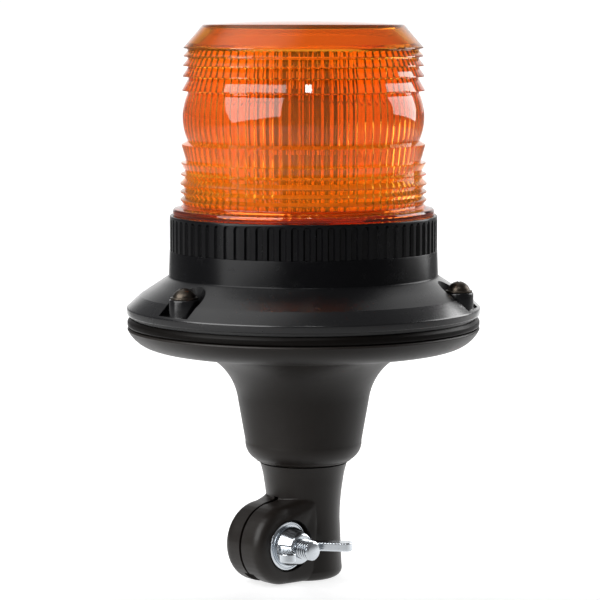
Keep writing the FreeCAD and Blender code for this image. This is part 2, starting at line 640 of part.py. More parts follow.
# ---------------------------------------------------------------- flexible mount
mount = new_body("flexible_mount")
mount_side = outline(mount, "side", "XZ_Plane", [
    (leg(ball_seat, seat_mouth - pivot_z), seat_mouth), (chin_r, chin_z, chin_round, 1), (waist_r, waist_z),
    (throat_r, throat_z, throat_round, -1), (bell_r, bell_z, bell_round, -1),
    (brim_r, brim_z, brim_round, 1),
    (mount_radius - 0.2, mount_top - 0.9), (mount_radius - 0.6, mount_top), (mount_recess, mount_top),
    (mount_recess, mount_floor), (funnel_r, funnel_top, funnel_round, 1), (funnel_foot, mount_web),
    (liner_eye, mount_web), (liner_eye, pivot_z + leg(ball_seat, liner_eye), ball_seat, -1)])
turn(mount, mount_side, "turn")
insert_seats = discs(mount, "insert_seats", "XY_Plane",
                     thirds(pcd_radius, screw_phase, insert_radius + 0.05), insert_low)
pocket(mount, insert_seats, "insert_cut", mount_top + 1 - insert_low, True)
nodes.append(mount)

inserts = new_body("thread_inserts", True)
insert_ring = discs(inserts, "ring", "XY_Plane",
                    [(pcd_radius, 0, insert_radius), (pcd_radius, 0, screw_radius + 0.05)], insert_low)
insert_one = pad(inserts, insert_ring, "ring_pad", mount_top - insert_low)
pattern(inserts, [insert_one], "three", 3)
swing(inserts, screw_phase)
nodes.append(inserts)

gasket = new_body("base_gasket")
gasket_side = outline(gasket, "side", "XZ_Plane", [
    (mount_recess + 1, mount_top), (mount_radius - 1.0, mount_top), (mount_radius - 0.3, mount_top + 0.8),
    (mount_radius - 0.2, mount_top + 2.6), (mount_radius - 1.0, base_bottom),
    (mount_recess + 1, base_bottom)])
turn(gasket, gasket_side, "turn")
gasket_holes = discs(gasket, "holes", "XY_Plane", thirds(pcd_radius, screw_phase, screw_hole), mount_top - 1)
pocket(gasket, gasket_holes, "holes_cut", 8, True)
nodes.append(gasket)

# ---------------------------------------------------------------- base housing
base = new_body("base_housing")
base_side = outline(base, "side", "XZ_Plane", [
    (10, base_bottom), (rim_radius - 1.9, base_bottom), (rim_radius - 1.9, rim_low),
    (rim_radius - 0.3, rim_low),
    (rim_radius, rim_low + 0.4), (rim_radius, rim_top), (rim_radius - 0.4, rim_top + 0.4),
    (crease_r, crease_z),
    (wall_radius + 0.6, wall_low - 0.2), (wall_radius, wall_low + 0.5), (wall_radius - 0.1, rib_low),
    (rib_radius, rib_low), (rib_radius, base_top - 0.4), (rib_radius - 0.3, base_top),
    (seal_outer, base_top),
    (seal_outer, seal_floor), (seal_inner, seal_floor), (seal_inner, base_top), (throat_radius, base_top),
    (throat_radius, bayonet_top), (bayonet_radius, bayonet_top), (bayonet_radius, ledge_z),
    (chamber_radius, ledge_z), (chamber_radius, chamber_floor), (10, chamber_floor)])
turn(base, base_side, "turn")
post_ring = discs(base, "posts", "XY_Plane", thirds(post_place, post_phase, post_radius), chamber_floor - 0.5)
pad(base, post_ring, "posts_pad", board_low - chamber_floor + 0.5)
post_holes = discs(base, "post_holes", "XY_Plane", thirds(post_place, post_phase, post_hole),
                   chamber_floor + 1)
pocket(base, post_holes, "post_holes_cut", 10, True)
for k in range(3):
    angle = math.radians(screw_phase.value + 120 * k)
    cu = math.cos(angle)
    cv = math.sin(angle)
    inner = pcd_radius
    outer = rim_radius + 2
    pit = outline(base, "pit_%d" % k, "XY_Plane", [
        (inner * cu + pit_radius * cv, inner * cv - pit_radius * cu),
        (outer * cu + pit_radius * cv, outer * cv - pit_radius * cu),
        (outer * cu - pit_radius * cv, outer * cv + pit_radius * cu),
        (inner * cu - pit_radius * cv, inner * cv + pit_radius * cu, pit_radius, 1)], pit_floor)
    pocket(base, pit, "pit_cut_%d" % k, 16, True)
boss_rings = discs(base, "bosses", "XY_Plane", thirds(pcd_radius, screw_phase, boss_radius), pit_floor - 1)
pad(base, boss_rings, "bosses_pad", boss_top - pit_floor + 1)
boss_holes = discs(base, "boss_holes", "XY_Plane", thirds(pcd_radius, screw_phase, screw_hole),
                   base_bottom - 1)
pocket(base, boss_holes, "boss_holes_cut", 16, True)
vent_angle = math.radians(vent_phase.value)
vent = discs(base, "vent", "XY_Plane",
             [(vent_place * math.cos(vent_angle), vent_place * math.sin(vent_angle), vent_radius)], vent_floor)
pocket(base, vent, "vent_cut", 8, True)
entry_reach = math.sqrt(entry_radius.value ** 2 - entry_half.value ** 2)
entry_sketch = outline(base, "entry", "XY_Plane", [
    (throat_radius - 3, -entry_half), (entry_reach, -entry_half, entry_radius, 1),
    (entry_reach, entry_half),
    (throat_radius - 3, entry_half)], bayonet_top - 0.5)
entry_cut = pocket(base, entry_sketch, "entry_cut", 6, True)
entries = pattern(base, [entry_cut], "entries", 3)
groove_half = rib_groove / 2
groove_sketch = outline(base, "groove", "XZ_Plane", [
    (-groove_half, rib_low + 0.02), (groove_half, rib_low + 0.02),
    (groove_half, base_top - rib_land - groove_half, groove_half, 1),
    (-groove_half, base_top - rib_land - groove_half)], rib_radius - rib_depth)
groove_cut = pocket(base, groove_sketch, "groove_cut", 3, True)
pattern(base, [groove_cut], "grooves", rib_count)
nodes.append(base)

# ---------------------------------------------------------------- fixings of the base
screws = new_body("base_screws", True)
screw_low = boss_top + lip_thick
screw_shank = discs(screws, "shank", "XY_Plane", [(pcd_radius, 0, screw_radius)], screw_foot)
screw_shank_pad = pad(screws, screw_shank, "shank_pad", screw_low - screw_foot + 0.5)
screw_disc = discs(screws, "head", "XY_Plane", [(pcd_radius, 0, screw_head)], screw_low)
screw_head_pad = pad(screws, screw_disc, "head_pad", screw_rise)
screw_slot = discs(screws, "socket", "XY_Plane", [(pcd_radius, 0, 1.8)], screw_low + screw_rise - 1.6)
screw_slot_cut = pocket(screws, screw_slot, "socket_cut", 3, True)
pattern(screws, [screw_shank_pad, screw_head_pad, screw_slot_cut], "three", 3)
swing(screws, screw_phase)
nodes.append(screws)

lips = new_body("screw_washers", True)
lip_ring = discs(lips, "ring", "XY_Plane",
                 [(pcd_radius, 0, lip_radius), (pcd_radius, 0, screw_radius + 0.15)], boss_top)
lip_one = pad(lips, lip_ring, "ring_pad", lip_thick)
pattern(lips, [lip_one], "three", 3)
swing(lips, screw_phase)
nodes.append(lips)

# ---------------------------------------------------------------- driver
board_top = board_low + board_thick
board = new_body("driver_board")
board_disc = discs(board, "disc", "XY_Plane",
                   [(0, 0, board_radius)] + thirds(post_place, post_phase, post_hole + 0.2), board_low)
pad(board, board_disc, "disc_pad", board_thick)
nodes.append(board)

board_screws = new_body("board_screws", True)
small_shank = discs(board_screws, "shank", "XY_Plane", [(post_place, 0, 1.4)], chamber_floor + 1.4)
small_shank_pad = pad(board_screws, small_shank, "shank_pad", board_top - chamber_floor - 1.2)
small_head = discs(board_screws, "head", "XY_Plane", [(post_place, 0, 2.8)], board_top)
small_head_pad = pad(board_screws, small_head, "head_pad", 2)
pattern(board_screws, [small_shank_pad, small_head_pad], "three", 3)
swing(board_screws, post_phase)
nodes.append(board_screws)

terminal = new_body("terminal_block")
terminal_plan = outline(terminal, "plan", "XY_Plane", rectangle(0, 0, terminal_length, terminal_width),
                        board_low - terminal_rise)
pad(terminal, terminal_plan, "pad", terminal_rise)
nodes.append(terminal)

capacitors = new_body("capacitors", True)
can_pair = discs(capacitors, "pair", "XY_Plane",
                 [(can_place, can_first, can_radius), (can_place, can_second, can_radius)], board_top)
pad(capacitors, can_pair, "pair_pad", can_height)
nodes.append(capacitors)

inductor = new_body("inductor")
coil = discs(inductor, "coil", "XY_Plane",
             [(coil_place_x, coil_place_y, coil_radius), (coil_place_x, coil_place_y, coil_bore)], board_top)
pad(inductor, coil, "coil_pad", coil_height)
nodes.append(inductor)

regulator = new_body("driver_chips", True)
for k, (u, v, width, height) in enumerate(((22, 6, 9, 7), (26, 19, 5, 5), (-2, -28, 8, 6))):
    chip_plan = outline(regulator, "chip_%d" % k, "XY_Plane", rectangle(u, v, dim(width), dim(height)),
                        board_top)
    pad(regulator, chip_plan, "chip_pad_%d" % k, package_height)
nodes.append(regulator)

leads = new_body("beacon_leads", True)
lead_run = discs(leads, "run", "XY_Plane",
                 [(lead_offset, 0, lead_radius), (-lead_offset, 0, lead_radius)], lead_gap_top)
pad(leads, lead_run, "run_pad", board_low - terminal_rise - lead_gap_top)
nodes.append(leads)

# ---------------------------------------------------------------- light tower and reflector
tower = new_body("light_tower")
tower_disc = discs(tower, "foot", "XY_Plane", [(0, 0, tower_foot)], board_top)
pad(tower, tower_disc, "foot_pad", tower_flange)
tower_hex = outline(tower, "hex", "XY_Plane", hexagon(0, 0, tower_flats), board_top + 2)
pad(tower, tower_hex, "hex_pad", tower_top - board_top - 2)
tower_bore = discs(tower, "bore", "XY_Plane", [(0, 0, tower_thread)], tower_top - 14)
pocket(tower, tower_bore, "bore_cut", 15, True)
nodes.append(tower)

strips = new_body("emitter_boards", True)
strip_plan = outline(strips, "plan", "XY_Plane",
                     rectangle(tower_flats / 2 + strip_thick / 2, 0, strip_thick, strip_width), strip_low)
strip_one = pad(strips, strip_plan, "pad", tower_top - strip_low)
pattern(strips, [strip_one], "six", strip_count)
swing(strips, strip_phase)
nodes.append(strips)

chips = new_body("emitters", True)
chip_pads = []
for k in range(3):
    chip_side = outline(chips, "chip_%d" % k, "YZ_Plane", rectangle(0, chip_low + chip_step * k, chip_size,
                                                                     chip_size),
                        tower_flats / 2 + strip_thick)
    chip_pads.append(pad(chips, chip_side, "chip_pad_%d" % k, chip_thick))
pattern(chips, chip_pads, "six", strip_count)
swing(chips, strip_phase)
nodes.append(chips)

cap = new_body("tower_cap")
cap_side = outline(cap, "side", "XZ_Plane", [
    (cap_bore, tower_top), (cap_radius, tower_top), (cap_radius, tower_top + cap_thick - 1),
    (cap_radius - 1.4, tower_top + cap_thick), (cap_bore, tower_top + cap_thick)])
turn(cap, cap_side, "turn")
nodes.append(cap)

cap_screw = new_body("cap_screw")
cap_screw_side = outline(cap_screw, "side", "XZ_Plane", [
    (0, tower_top - 11), (cap_screw_r, tower_top - 11), (cap_screw_r, tower_top + cap_thick),
    (cap_screw_head, tower_top + cap_thick), (cap_screw_head, tower_top + cap_thick + 1.2),
    (cap_screw_head - 1, tower_top + cap_thick + 2.2), (0, tower_top + cap_thick + 2.2)])
turn(cap_screw, cap_screw_side, "turn")
nodes.append(cap_screw)

dish = new_body("reflector_dish")
dish_side = outline(dish, "side", "XZ_Plane", [
    (dish_hole, dish_crown - dish_skin), (dish_foot, ledge_z, dish_sweep, -1), (dish_radius, ledge_z),
    (dish_radius, ledge_z + dish_skin), (dish_foot + 1, ledge_z + dish_skin, dish_sweep, 1),
    (dish_hole, dish_crown)])
turn(dish, dish_side, "turn")
nodes.append(dish)

seal = new_body("lens_seal")
seal_side = outline(seal, "side", "XZ_Plane", [
    (seal_inner + 0.05, seal_floor), (seal_outer - 0.05, seal_floor), (seal_outer - 0.05, base_top - 0.02),
    (seal_inner + 0.05, base_top - 0.02)])
turn(seal, seal_side, "turn")
nodes.append(seal)

# ---------------------------------------------------------------- lens
lens = new_body("lens")
rings = [
    (53.0, 149.5), (53.4, 150.1), (53.4, 151.7), (53.0, 152.3), (50.3, 152.9), (49.0, 154.2),
    (50.4, 156.0), (48.6, 157.6), (50.4, 159.2), (48.4, 160.7), (50.4, 162.5), (48.4, 164.7),
    (50.2, 166.4), (48.3, 167.4), (50.0, 170.9), (47.9, 171.3), (49.8, 178.2), (47.3, 179.7, 24.0, 1),
    (47.1, 199.1), (47.1, 199.5), (49.4, 200.3), (46.7, 205.2), (49.2, 206.0), (46.9, 209.6),
    (49.0, 210.3), (46.9, 213.1), (48.8, 214.1), (46.9, 216.4), (48.8, 217.4), (41.6, 226.2),
    (40.6, 226.7)]
ring_points = []
for k, ring in enumerate(rings):
    u = cell("ring_radius_%02d" % k, ring[0], "lens outline radius, point %d" % k)
    v = cell("ring_height_%02d" % k, ring[1], "lens outline height, point %d" % k)
    ring_points.append((u, v) + tuple(ring[2:]))
doc.recompute()
lens_side = outline(lens, "side", "XZ_Plane", ring_points + [
    (0, lens_top), (0, lens_top - lens_skin), (38.6, 223.9), (lens_inner - 0.7, flute_top + 0.6),
    (lens_inner, flute_top), (lens_inner, flange_top - 0.6), (skirt_inner, 150.8), (skirt_inner, skirt_low),
    (skirt_outer, skirt_low), (skirt_outer, 149.5)])
turn(lens, lens_side, "turn")
lug_reach = math.sqrt(lug_radius.value ** 2 - lug_half.value ** 2)
lug = outline(lens, "lug", "XY_Plane", [
    (skirt_outer - 1, -lug_half), (lug_reach, -lug_half, lug_radius, 1), (lug_reach, lug_half),
    (skirt_outer - 1, lug_half)], skirt_low)
lug_one = pad(lens, lug, "lug_pad", lug_thick)
lugs = pattern(lens, [lug_one], "lugs", 3)
flute = outline(lens, "flute", "XY_Plane", [
    (lens_inner + 0.3, -flute_half), (lens_inner + 0.3, flute_half),
    (lens_inner - 0.05, flute_half, flute_round, 1),
    (lens_inner - 0.05, -flute_half)], flute_low)
flute_one = pad(lens, flute, "flute_pad", flute_top - flute_low)
pattern(lens, [flute_one], "flutes", flute_count)
swing(lens, -twist)
nodes.append(lens)

# ---------------------------------------------------------------- checks and export
doc.recompute()
bad = []
for item in doc.Objects:
    state = " ".join(item.State)
    if "Invalid" in state or "Error" in state:
        bad.append(item.Name + ": " + state)
for body in nodes:
    if body.Shape.isNull() or not body.Shape.isValid():
        bad.append(body.Label + ": shape")
if bad:
    raise RuntimeError("; ".join(bad))
os.makedirs("parts", exist_ok=True)
for body in nodes:
    body.Shape.exportStep("parts/" + body.Label + ".step")
    box = body.Shape.BoundBox
    print("%-18s solids %2d  vol %9.1f  x %.1f..%.1f y %.1f..%.1f z %.1f..%.1f" % (
        body.Label, len(body.Shape.Solids), body.Shape.Volume,
        box.XMin, box.XMax, box.YMin, box.YMax, box.ZMin, box.ZMax))
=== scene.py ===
import math

import bmesh
import bpy
from mathutils import Matrix, Vector


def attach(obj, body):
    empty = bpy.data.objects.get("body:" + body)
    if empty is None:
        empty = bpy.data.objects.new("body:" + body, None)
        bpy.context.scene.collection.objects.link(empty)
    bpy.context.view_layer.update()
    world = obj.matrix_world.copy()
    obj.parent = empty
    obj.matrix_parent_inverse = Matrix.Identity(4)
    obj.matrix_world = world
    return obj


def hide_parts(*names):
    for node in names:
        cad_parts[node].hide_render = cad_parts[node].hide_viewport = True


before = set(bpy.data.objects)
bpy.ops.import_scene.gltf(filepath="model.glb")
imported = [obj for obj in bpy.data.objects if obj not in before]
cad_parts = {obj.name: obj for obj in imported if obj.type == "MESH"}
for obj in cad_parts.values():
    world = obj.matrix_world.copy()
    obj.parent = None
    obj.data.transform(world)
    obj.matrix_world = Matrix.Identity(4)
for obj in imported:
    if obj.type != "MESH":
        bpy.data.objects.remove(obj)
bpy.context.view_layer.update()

bl_info = {
    "name": "Pole Beacon Builder",
    "version": (1, 0, 0),
    "blender": (4, 5, 0),
    "location": "View3D > Sidebar > Beacon",
    "description": "Builds the finished surfaces of a pole-mounted warning beacon round its packed frame",
    "category": "Object",
}

MM = 0.001
SCREW_ANGLES = (60.0, 180.0, 300.0)
BLACK = (0.0, 0.0, 0.0, 1.0)
WHITE = (1.0, 1.0, 1.0, 1.0)
TINY = 0.000001
FLOOR_REACH = 60.0
LENS_MIDDLE = Vector((0.0, 0.0, 0.19))
# name, degrees round from the camera, rise, roll, distance, width, height, radiance
LAMPS = (
    ("Left softbox", -53.0, 28.0, 17.0, 1.0, 1.05, 1.04, 5.2),
    ("Right softbox", 116.0, 17.0, -15.0, 1.1, 0.8, 0.66, 4.5),
    ("Front spot", 6.4, 54.6, 0.0, 1.04, 0.09, 0.12, 24.0))


# ------------------------------------------------------------------ node trees
class Wire:
    """One output socket. Arithmetic on it adds Math nodes, or Vector Math nodes for vectors."""

    def __init__(self, tree, socket):
        self.tree = tree
        self.socket = socket

    def out(self, name):
        """Another output of the same node."""
        return Wire(self.tree, self.socket.node.outputs[name])

    def calc(self, operation, *terms):
        """A Math node, or Vector Math when any term is a vector, with this wire among its terms."""
        vectors = [t for t in terms if isinstance(t, Wire) and t.socket.type in ("VECTOR", "RGBA")]
        kind = "ShaderNodeVectorMath" if vectors else "ShaderNodeMath"
        return self.tree.node(kind, {"operation": operation}, dict(enumerate(terms)))

    def __add__(self, other):
        return self.calc("ADD", self, other)

    def __radd__(self, other):
        return self.calc("ADD", other, self)

    def __sub__(self, other):
        return self.calc("SUBTRACT", self, other)

    def __rsub__(self, other):
        return self.calc("SUBTRACT", other, self)

    def __mul__(self, other):
        return self.calc("MULTIPLY", self, other)

    def __rmul__(self, other):
        return self.calc("MULTIPLY", other, self)

    def __truediv__(self, other):
        return self.calc("DIVIDE", self, other)

    def __pow__(self, other):
        return self.calc("POWER", self, other)

    def __mod__(self, other):
        return self.calc("FLOORED_MODULO", self, other)

    def apply(self, operation, other=None):
        """A named one- or two-term operation, such as SINE or MAXIMUM."""
        return self.calc(operation, self) if other is None else self.calc(operation, self, other)


class Tree:
    """Adds nodes to a shader or geometry tree."""

    def __init__(self, tree):
        self.tree = tree

    def node(self, kind, settings=None, inputs=None, out=None):
        """A node of `kind`: its settings are set first, then its sockets get values or links."""
        made = self.tree.nodes.new(kind)
        for name, value in (settings or {}).items():
            setattr(made, name, value)
        for key, value in (inputs or {}).items():
            socket = made.inputs[key]
            if isinstance(value, Wire):
                self.tree.links.new(value.socket, socket)
            else:
                socket.default_value = value
        if out is not None:
            return Wire(self, made.outputs[out])
        return Wire(self, made.outputs[0]) if made.outputs else None

    def end(self, given, geometry):
        """Ends a geometry tree: real geometry in the material that it was given."""
        real = self.node("GeometryNodeRealizeInstances", {}, {"Geometry": geometry})
        dressed = self.node("GeometryNodeSetMaterial", {}, {
            "Geometry": real, "Material": given.out("Material")})
        self.node("NodeGroupOutput", {}, {"Geometry": dressed})
        return self.tree


class Shader(Tree):
    """A material's or world's tree, with the nodes that every finish here uses."""

    def __init__(self, name):
        self.material = bpy.data.materials.new(name)
        self.material.use_nodes = True
        self.begin(self.material.node_tree, "Object")

    @classmethod
    def on(cls, tree, place):
        """The same helpers on another tree."""
        made = cls.__new__(cls)
        made.begin(tree, place)
        return made

    def begin(self, tree, place):
        self.tree = tree
        tree.nodes.clear()
        self.place = self.node("ShaderNodeTexCoord", out=place)

    def along(self, direction):
        """How far the place lies along a direction."""
        return self.node("ShaderNodeVectorMath", {"operation": "DOT_PRODUCT"}, {
            0: self.place, 1: direction}, out="Value")

    def part(self, axis):
        """One coordinate of the place."""
        return self.node("ShaderNodeSeparateXYZ", {}, {0: self.place}, out=axis)

    def noise(self, scale, detail, rough, stretch=None):
        place = self.place
        if stretch:
            place = self.node("ShaderNodeMapping", {}, {"Vector": place, "Scale": stretch})
        return self.node("ShaderNodeTexNoise", {}, {
            "Vector": place, "Scale": scale, "Detail": detail, "Roughness": rough}, out="Fac")

    def cells(self, scale, feature="F1"):
        return self.node("ShaderNodeTexVoronoi", {"feature": feature}, {
            "Vector": self.place, "Scale": scale}, out="Distance")

    def mix(self, factor, first, second):
        return self.node("ShaderNodeMix", {"data_type": "RGBA"}, {0: factor, 6: first, 7: second}, out=2)

    def between(self, value, low, high):
        """0 below low, 1 above high, smooth in between."""
        return self.node("ShaderNodeMapRange", {"interpolation_type": "SMOOTHSTEP"}, {
            "Value": value, "From Min": low, "From Max": high}, out="Result")

    def bump(self, height, strength, distance, normal=None):
        inputs = {"Height": height, "Strength": strength, "Distance": distance}
        if normal is not None:
            inputs["Normal"] = normal
        return self.node("ShaderNodeBump", {}, inputs)

    def finish(self, **sockets):
        """Ends the tree in a Principled BSDF; underscores in the names stand for spaces."""
        inputs = {name.replace("_", " "): value for name, value in sockets.items()}
        shader = self.node("ShaderNodeBsdfPrincipled", {}, inputs)
        self.node("ShaderNodeOutputMaterial", {}, {"Surface": shader})
        return self.material


def rgba(colour):
    return (colour[0], colour[1], colour[2], 1.0)


# ------------------------------------------------------------------ finishes
def moulded(name, colour, grain=2600.0, rough=0.55, depth=0.00006, lift=1.25, sheen=0.5, dusting=0.02,
            polish=()):
    """Moulded plastic or rubber: fine spark-eroded grain, faint flow marks and a trace of dust.
    Polish rows (height, height, weight) add gloss from the first height to the second."""
    s = Shader(name)
    flow = s.noise(34.0, 4.0, 0.6)
    grains = s.noise(grain, 2.0, 0.5)
    dust = s.between(s.noise(210.0, 5.0, 0.7), 0.52, 0.72)
    pale = tuple(min(1.0, c * lift) for c in colour)
    tone = s.mix(flow, rgba(colour), rgba(pale))
    tone = s.mix(dust * 0.2, tone, rgba(tuple(c + dusting for c in colour)))
    gloss = 0.0
    if polish:
        height = s.part("Z")
        gloss = sum(s.between(height, low, high) * weight for low, high, weight in polish)
    return s.finish(Base_Color=tone, Roughness=rough + 0.14 * (flow - 0.5) + dust * 0.06,
                    Specular_IOR_Level=sheen, Coat_Weight=gloss, Coat_Roughness=0.22,
                    Normal=s.bump(grains, 0.35, depth, s.bump(flow, 0.12, 0.0004)))


def plated(name, colour, tint, rough=0.2, streak=(1.0, 1.0, 1.0), scratch=0.2, painted_root_shade=None):
    """Plated or plain metal: cloudy plating, fine handling scratches and painted shade in thread hollows.
    Painted root shade (x, z, low, high, end) darkens a thread along Y between two distances from its axis,
    as painted shade where its roots fall in shadow."""
    s = Shader(name)
    cloud = s.noise(120.0, 4.0, 0.6)
    fine = s.noise(900.0, 3.0, 0.6, streak)
    marks = s.between(s.noise(420.0, 6.0, 0.75, streak), 0.58, 0.66)
    tone = s.mix(cloud, rgba(colour), rgba(tint))
    tone = s.mix(marks * 0.18, tone, rgba(tuple(c * 0.55 for c in colour)))
    if painted_root_shade:
        bolt_x, bolt_z, low, high, end = painted_root_shade
        x = s.part("X")
        across = x - bolt_x
        up = x.out("Z") - bolt_z
        depth = s.between((across * across + up * up).apply("SQRT"), high, low)
        depth = depth * s.between(x.out("Y"), -end, 0.0002 - end)
        # painted shade: the thread's roots, between the two distances from its axis, turn nearly black as
        # if in shadow
        tone = s.mix(depth, tone, rgba(tuple(c * 0.12 for c in colour)))
    return s.finish(Base_Color=tone, Metallic=1.0, Roughness=rough + 0.08 * cloud + 0.06 * marks,
                    Normal=s.bump(fine, scratch, 0.00003, s.bump(cloud, 0.08, 0.0002)))


def laminate(name, colour, trace):
    """Printed board: coated laminate with routed traces under the coat."""
    s = Shader(name)
    weave = s.noise(1400.0, 2.0, 0.5, (1.0, 4.0, 1.0))
    lines = s.between(s.cells(260.0, "DISTANCE_TO_EDGE"), 0.03, 0.06)
    tone = s.mix(lines, rgba(trace), rgba(colour))
    return s.finish(Base_Color=tone, Roughness=0.32 + 0.1 * weave, Coat_Weight=0.4, Coat_Roughness=0.1,
                    Normal=s.bump(lines, 0.3, 0.00008, s.bump(weave, 0.1, 0.00005)))


def amber_lens(name, belt, foot, crown, clear):
    """Amber moulding, nearly clear, tinted by height and darkest at its flange.
    The lower rings carry a faint painted glow that stands in for light shining through them."""
    s = Shader(name)
    flange = (0.7, 0.07, 0.010)
    skirt = (0.3, 0.02, 0.008)
    height = s.part("Z")
    deep = s.between(height, 0.162, 0.182) * s.between(height, 0.214, 0.198)
    flow = s.noise(26.0, 3.0, 0.5)
    tone = s.mix(deep, rgba(foot), rgba(belt))
    tone = s.mix(s.between(height, 0.2155, 0.2185), tone, rgba(crown))
    tone = s.mix(s.between(height, 0.156, 0.153), tone, rgba(flange))
    tone = s.mix(s.between(height, 0.1525, 0.150) * 0.85, tone, rgba(skirt))
    tone = s.mix(flow * 0.15, tone, rgba(tuple(c * 0.86 for c in belt)))
    # painted glow: emission on the lower rings stands in for light shining through the lens; the lens is no
    # lamp
    glow = s.mix(s.between(height, 0.205, 0.165), BLACK, rgba(foot))
    glow = s.mix(s.between(height, 0.156, 0.153), glow, BLACK)
    return s.finish(Base_Color=tone, Roughness=0.02, IOR=1.49, Transmission_Weight=clear,
                    Emission_Color=glow, Emission_Strength=0.05, Normal=s.bump(flow, 0.02, 0.0003))


def phosphor(name, colour):
    """Emitter package: pale resin over a yellow phosphor, unlit."""
    s = Shader(name)
    dots = s.between(s.cells(700.0), 0.2, 0.5)
    tone = s.mix(dots, rgba(colour), (1.0, 0.96, 0.82, 1.0))
    return s.finish(Base_Color=tone, Roughness=0.25 + 0.1 * dots, Coat_Weight=0.6, Coat_Roughness=0.05)


def floor_finish(name, colour, across, behind):
    """Pale seamless floor with a trace of paper grain, lit as a backdrop behind the beacon."""
    s = Shader(name)
    paper = s.noise(300.0, 4.0, 0.6)
    tone = s.mix(paper, rgba(colour), rgba(tuple(c * 0.985 for c in colour)))
    side = s.along(across).apply("ABSOLUTE")
    depth = s.along(behind)
    pool = s.between(side / (depth + 1.05), 0.26, 0.13) * s.between(depth, -0.16, 0.06)
    glow = s.mix(pool, BLACK, WHITE)
    return s.finish(Base_Color=tone, Roughness=0.7 + 0.1 * paper, Emission_Color=glow,
                    Emission_Strength=1.0, Normal=s.bump(paper, 0.05, 0.0002))


def soft_studio(name, across, behind):
    """A dim studio with a tall white backdrop behind the beacon and a soft glow high on the left."""
    world = bpy.data.worlds.new(name)
    world.use_nodes = True
    g = Shader.on(world.node_tree, "Generated")
    side = g.between((g.along(across) - 0.05).apply("ABSOLUTE"), 0.5, 0.25)
    depth = g.between(g.along(behind), 0.25, 0.6)
    high = tuple(-0.34 * a + 0.24 * b for a, b in zip(across[:2], behind[:2])) + (0.91,)
    room = (0.15, 0.15, 0.155, 1.0)
    sky = (1.1, 1.1, 1.1, 1.0)
    backdrop = (1.04, 1.04, 1.04, 1.0)
    tone = g.mix(g.between(g.along(high), 0.86, 0.99), room, sky)
    tone = g.mix(side * depth, tone, backdrop)
    light = g.node("ShaderNodeBackground", {}, {"Color": tone, "Strength": 1.0})
    g.node("ShaderNodeOutputWorld", {}, {"Surface": light})
    return world


# ------------------------------------------------------------------ outlines
def points(*pairs):
    return [Vector(pair) for pair in pairs]


def rectangle(left, right, low, high):
    return [(left, low), (right, low), (right, high), (left, high)]


def arc(x, radius, degrees):
    """Points of a circle round (x, 0)."""
    return [(x + radius * math.cos(math.radians(a)), radius * math.sin(math.radians(a))) for a in degrees]


def hexagon(width, x=0.0, z=0.0):
    """A hexagon of this width across its flats."""
    reach = width / 2.0 / math.cos(math.radians(30.0))
    return [(x + reach * math.cos(math.radians(60 * k)), z + reach * math.sin(math.radians(60 * k)))
            for k in range(6)]


def soften(corners, steps=4):
    """Corners (r, z) stay sharp; corners (r, z, rounding) become short arcs. Millimetres in and out."""
    shaped = []
    last = len(corners) - 1
    for i, corner in enumerate(corners):
        point = Vector(corner[:2])
        rounding = corner[2] if len(corner) > 2 else 0.0
        if rounding <= 0.0 or i in (0, last):
            shaped.append(point)
            continue
        back = Vector(corners[i - 1][:2]) - point
        ahead = Vector(corners[i + 1][:2]) - point
        half = back.angle(ahead) / 2.0
        if half > math.radians(88):
            shaped.append(point)
            continue
        run = min(rounding / math.tan(half), 0.47 * back.length, 0.47 * ahead.length)
        radius = run * math.tan(half)
        bisector = (back.normalized() + ahead.normalized()).normalized()
        centre = point + bisector * (radius / math.sin(half))
        first = (point + back.normalized() * run) - centre
        final = (point + ahead.normalized() * run) - centre
        turn = first.angle_signed(final)
        for k in range(steps + 1):
            swung = first.copy()
            swung.rotate(Matrix.Rotation(-turn * k / steps, 2))
            shaped.append(centre + swung)
    return shaped


def swept(start, stop, radius, side, steps):
    """Points of an arc from start to stop; side +1 keeps its centre on the left of the run."""
    start = Vector(start)
    stop = Vector(stop)
    run = stop - start
    across = Vector((-run.y, run.x)).normalized()
    rise = math.sqrt(max(radius * radius - run.length_squared / 4.0, 0.0))
    centre = (start + stop) / 2.0 + across * rise * side
    first = start - centre
    turn = first.angle_signed(stop - centre)
    line = []
    for k in range(steps + 1):
        swung = first.copy()
        swung.rotate(Matrix.Rotation(-turn * k / steps, 2))
        line.append(centre + swung)
    return line


def path(stations, steps=12):
    """A line through (r, z) stations; one given as (r, z, radius, side) starts an arc to the next."""
    line = [Vector(stations[0][:2])]
    for here, there in zip(stations, stations[1:]):
        if len(here) > 2:
            line += swept(here[:2], there[:2], here[2], here[3], steps)[1:]
        else:
            line.append(Vector(there[:2]))
    return line


def landed(corners, land):
    """Gives every outward tip of a downward outline a narrow upright land, set in a little."""
    inset = 0.08
    line = [corners[0]]
    for before, here, after in zip(corners, corners[1:], corners[2:]):
        if here[0] > max(before[0], after[0]) and len(here) == 2:
            line += [(here[0] - inset, here[1] + land / 2.0), (here[0] - inset, here[1] - land / 2.0)]
        else:
            line.append(here)
    return line + [corners[-1]]


# ------------------------------------------------------------------ geometry trees
def tree_inputs(name, sockets):
    """A new geometry tree with named inputs."""
    tree = bpy.data.node_groups.new(name, "GeometryNodeTree")
    tree.interface.new_socket(name="Geometry", in_out="INPUT", socket_type="NodeSocketGeometry")
    for label, kind, default in sockets:
        item = tree.interface.new_socket(name=label, in_out="INPUT", socket_type="NodeSocket" + kind)
        if default is not None:
            item.default_value = default
    tree.interface.new_socket(name="Geometry", in_out="OUTPUT", socket_type="NodeSocketGeometry")
    return tree


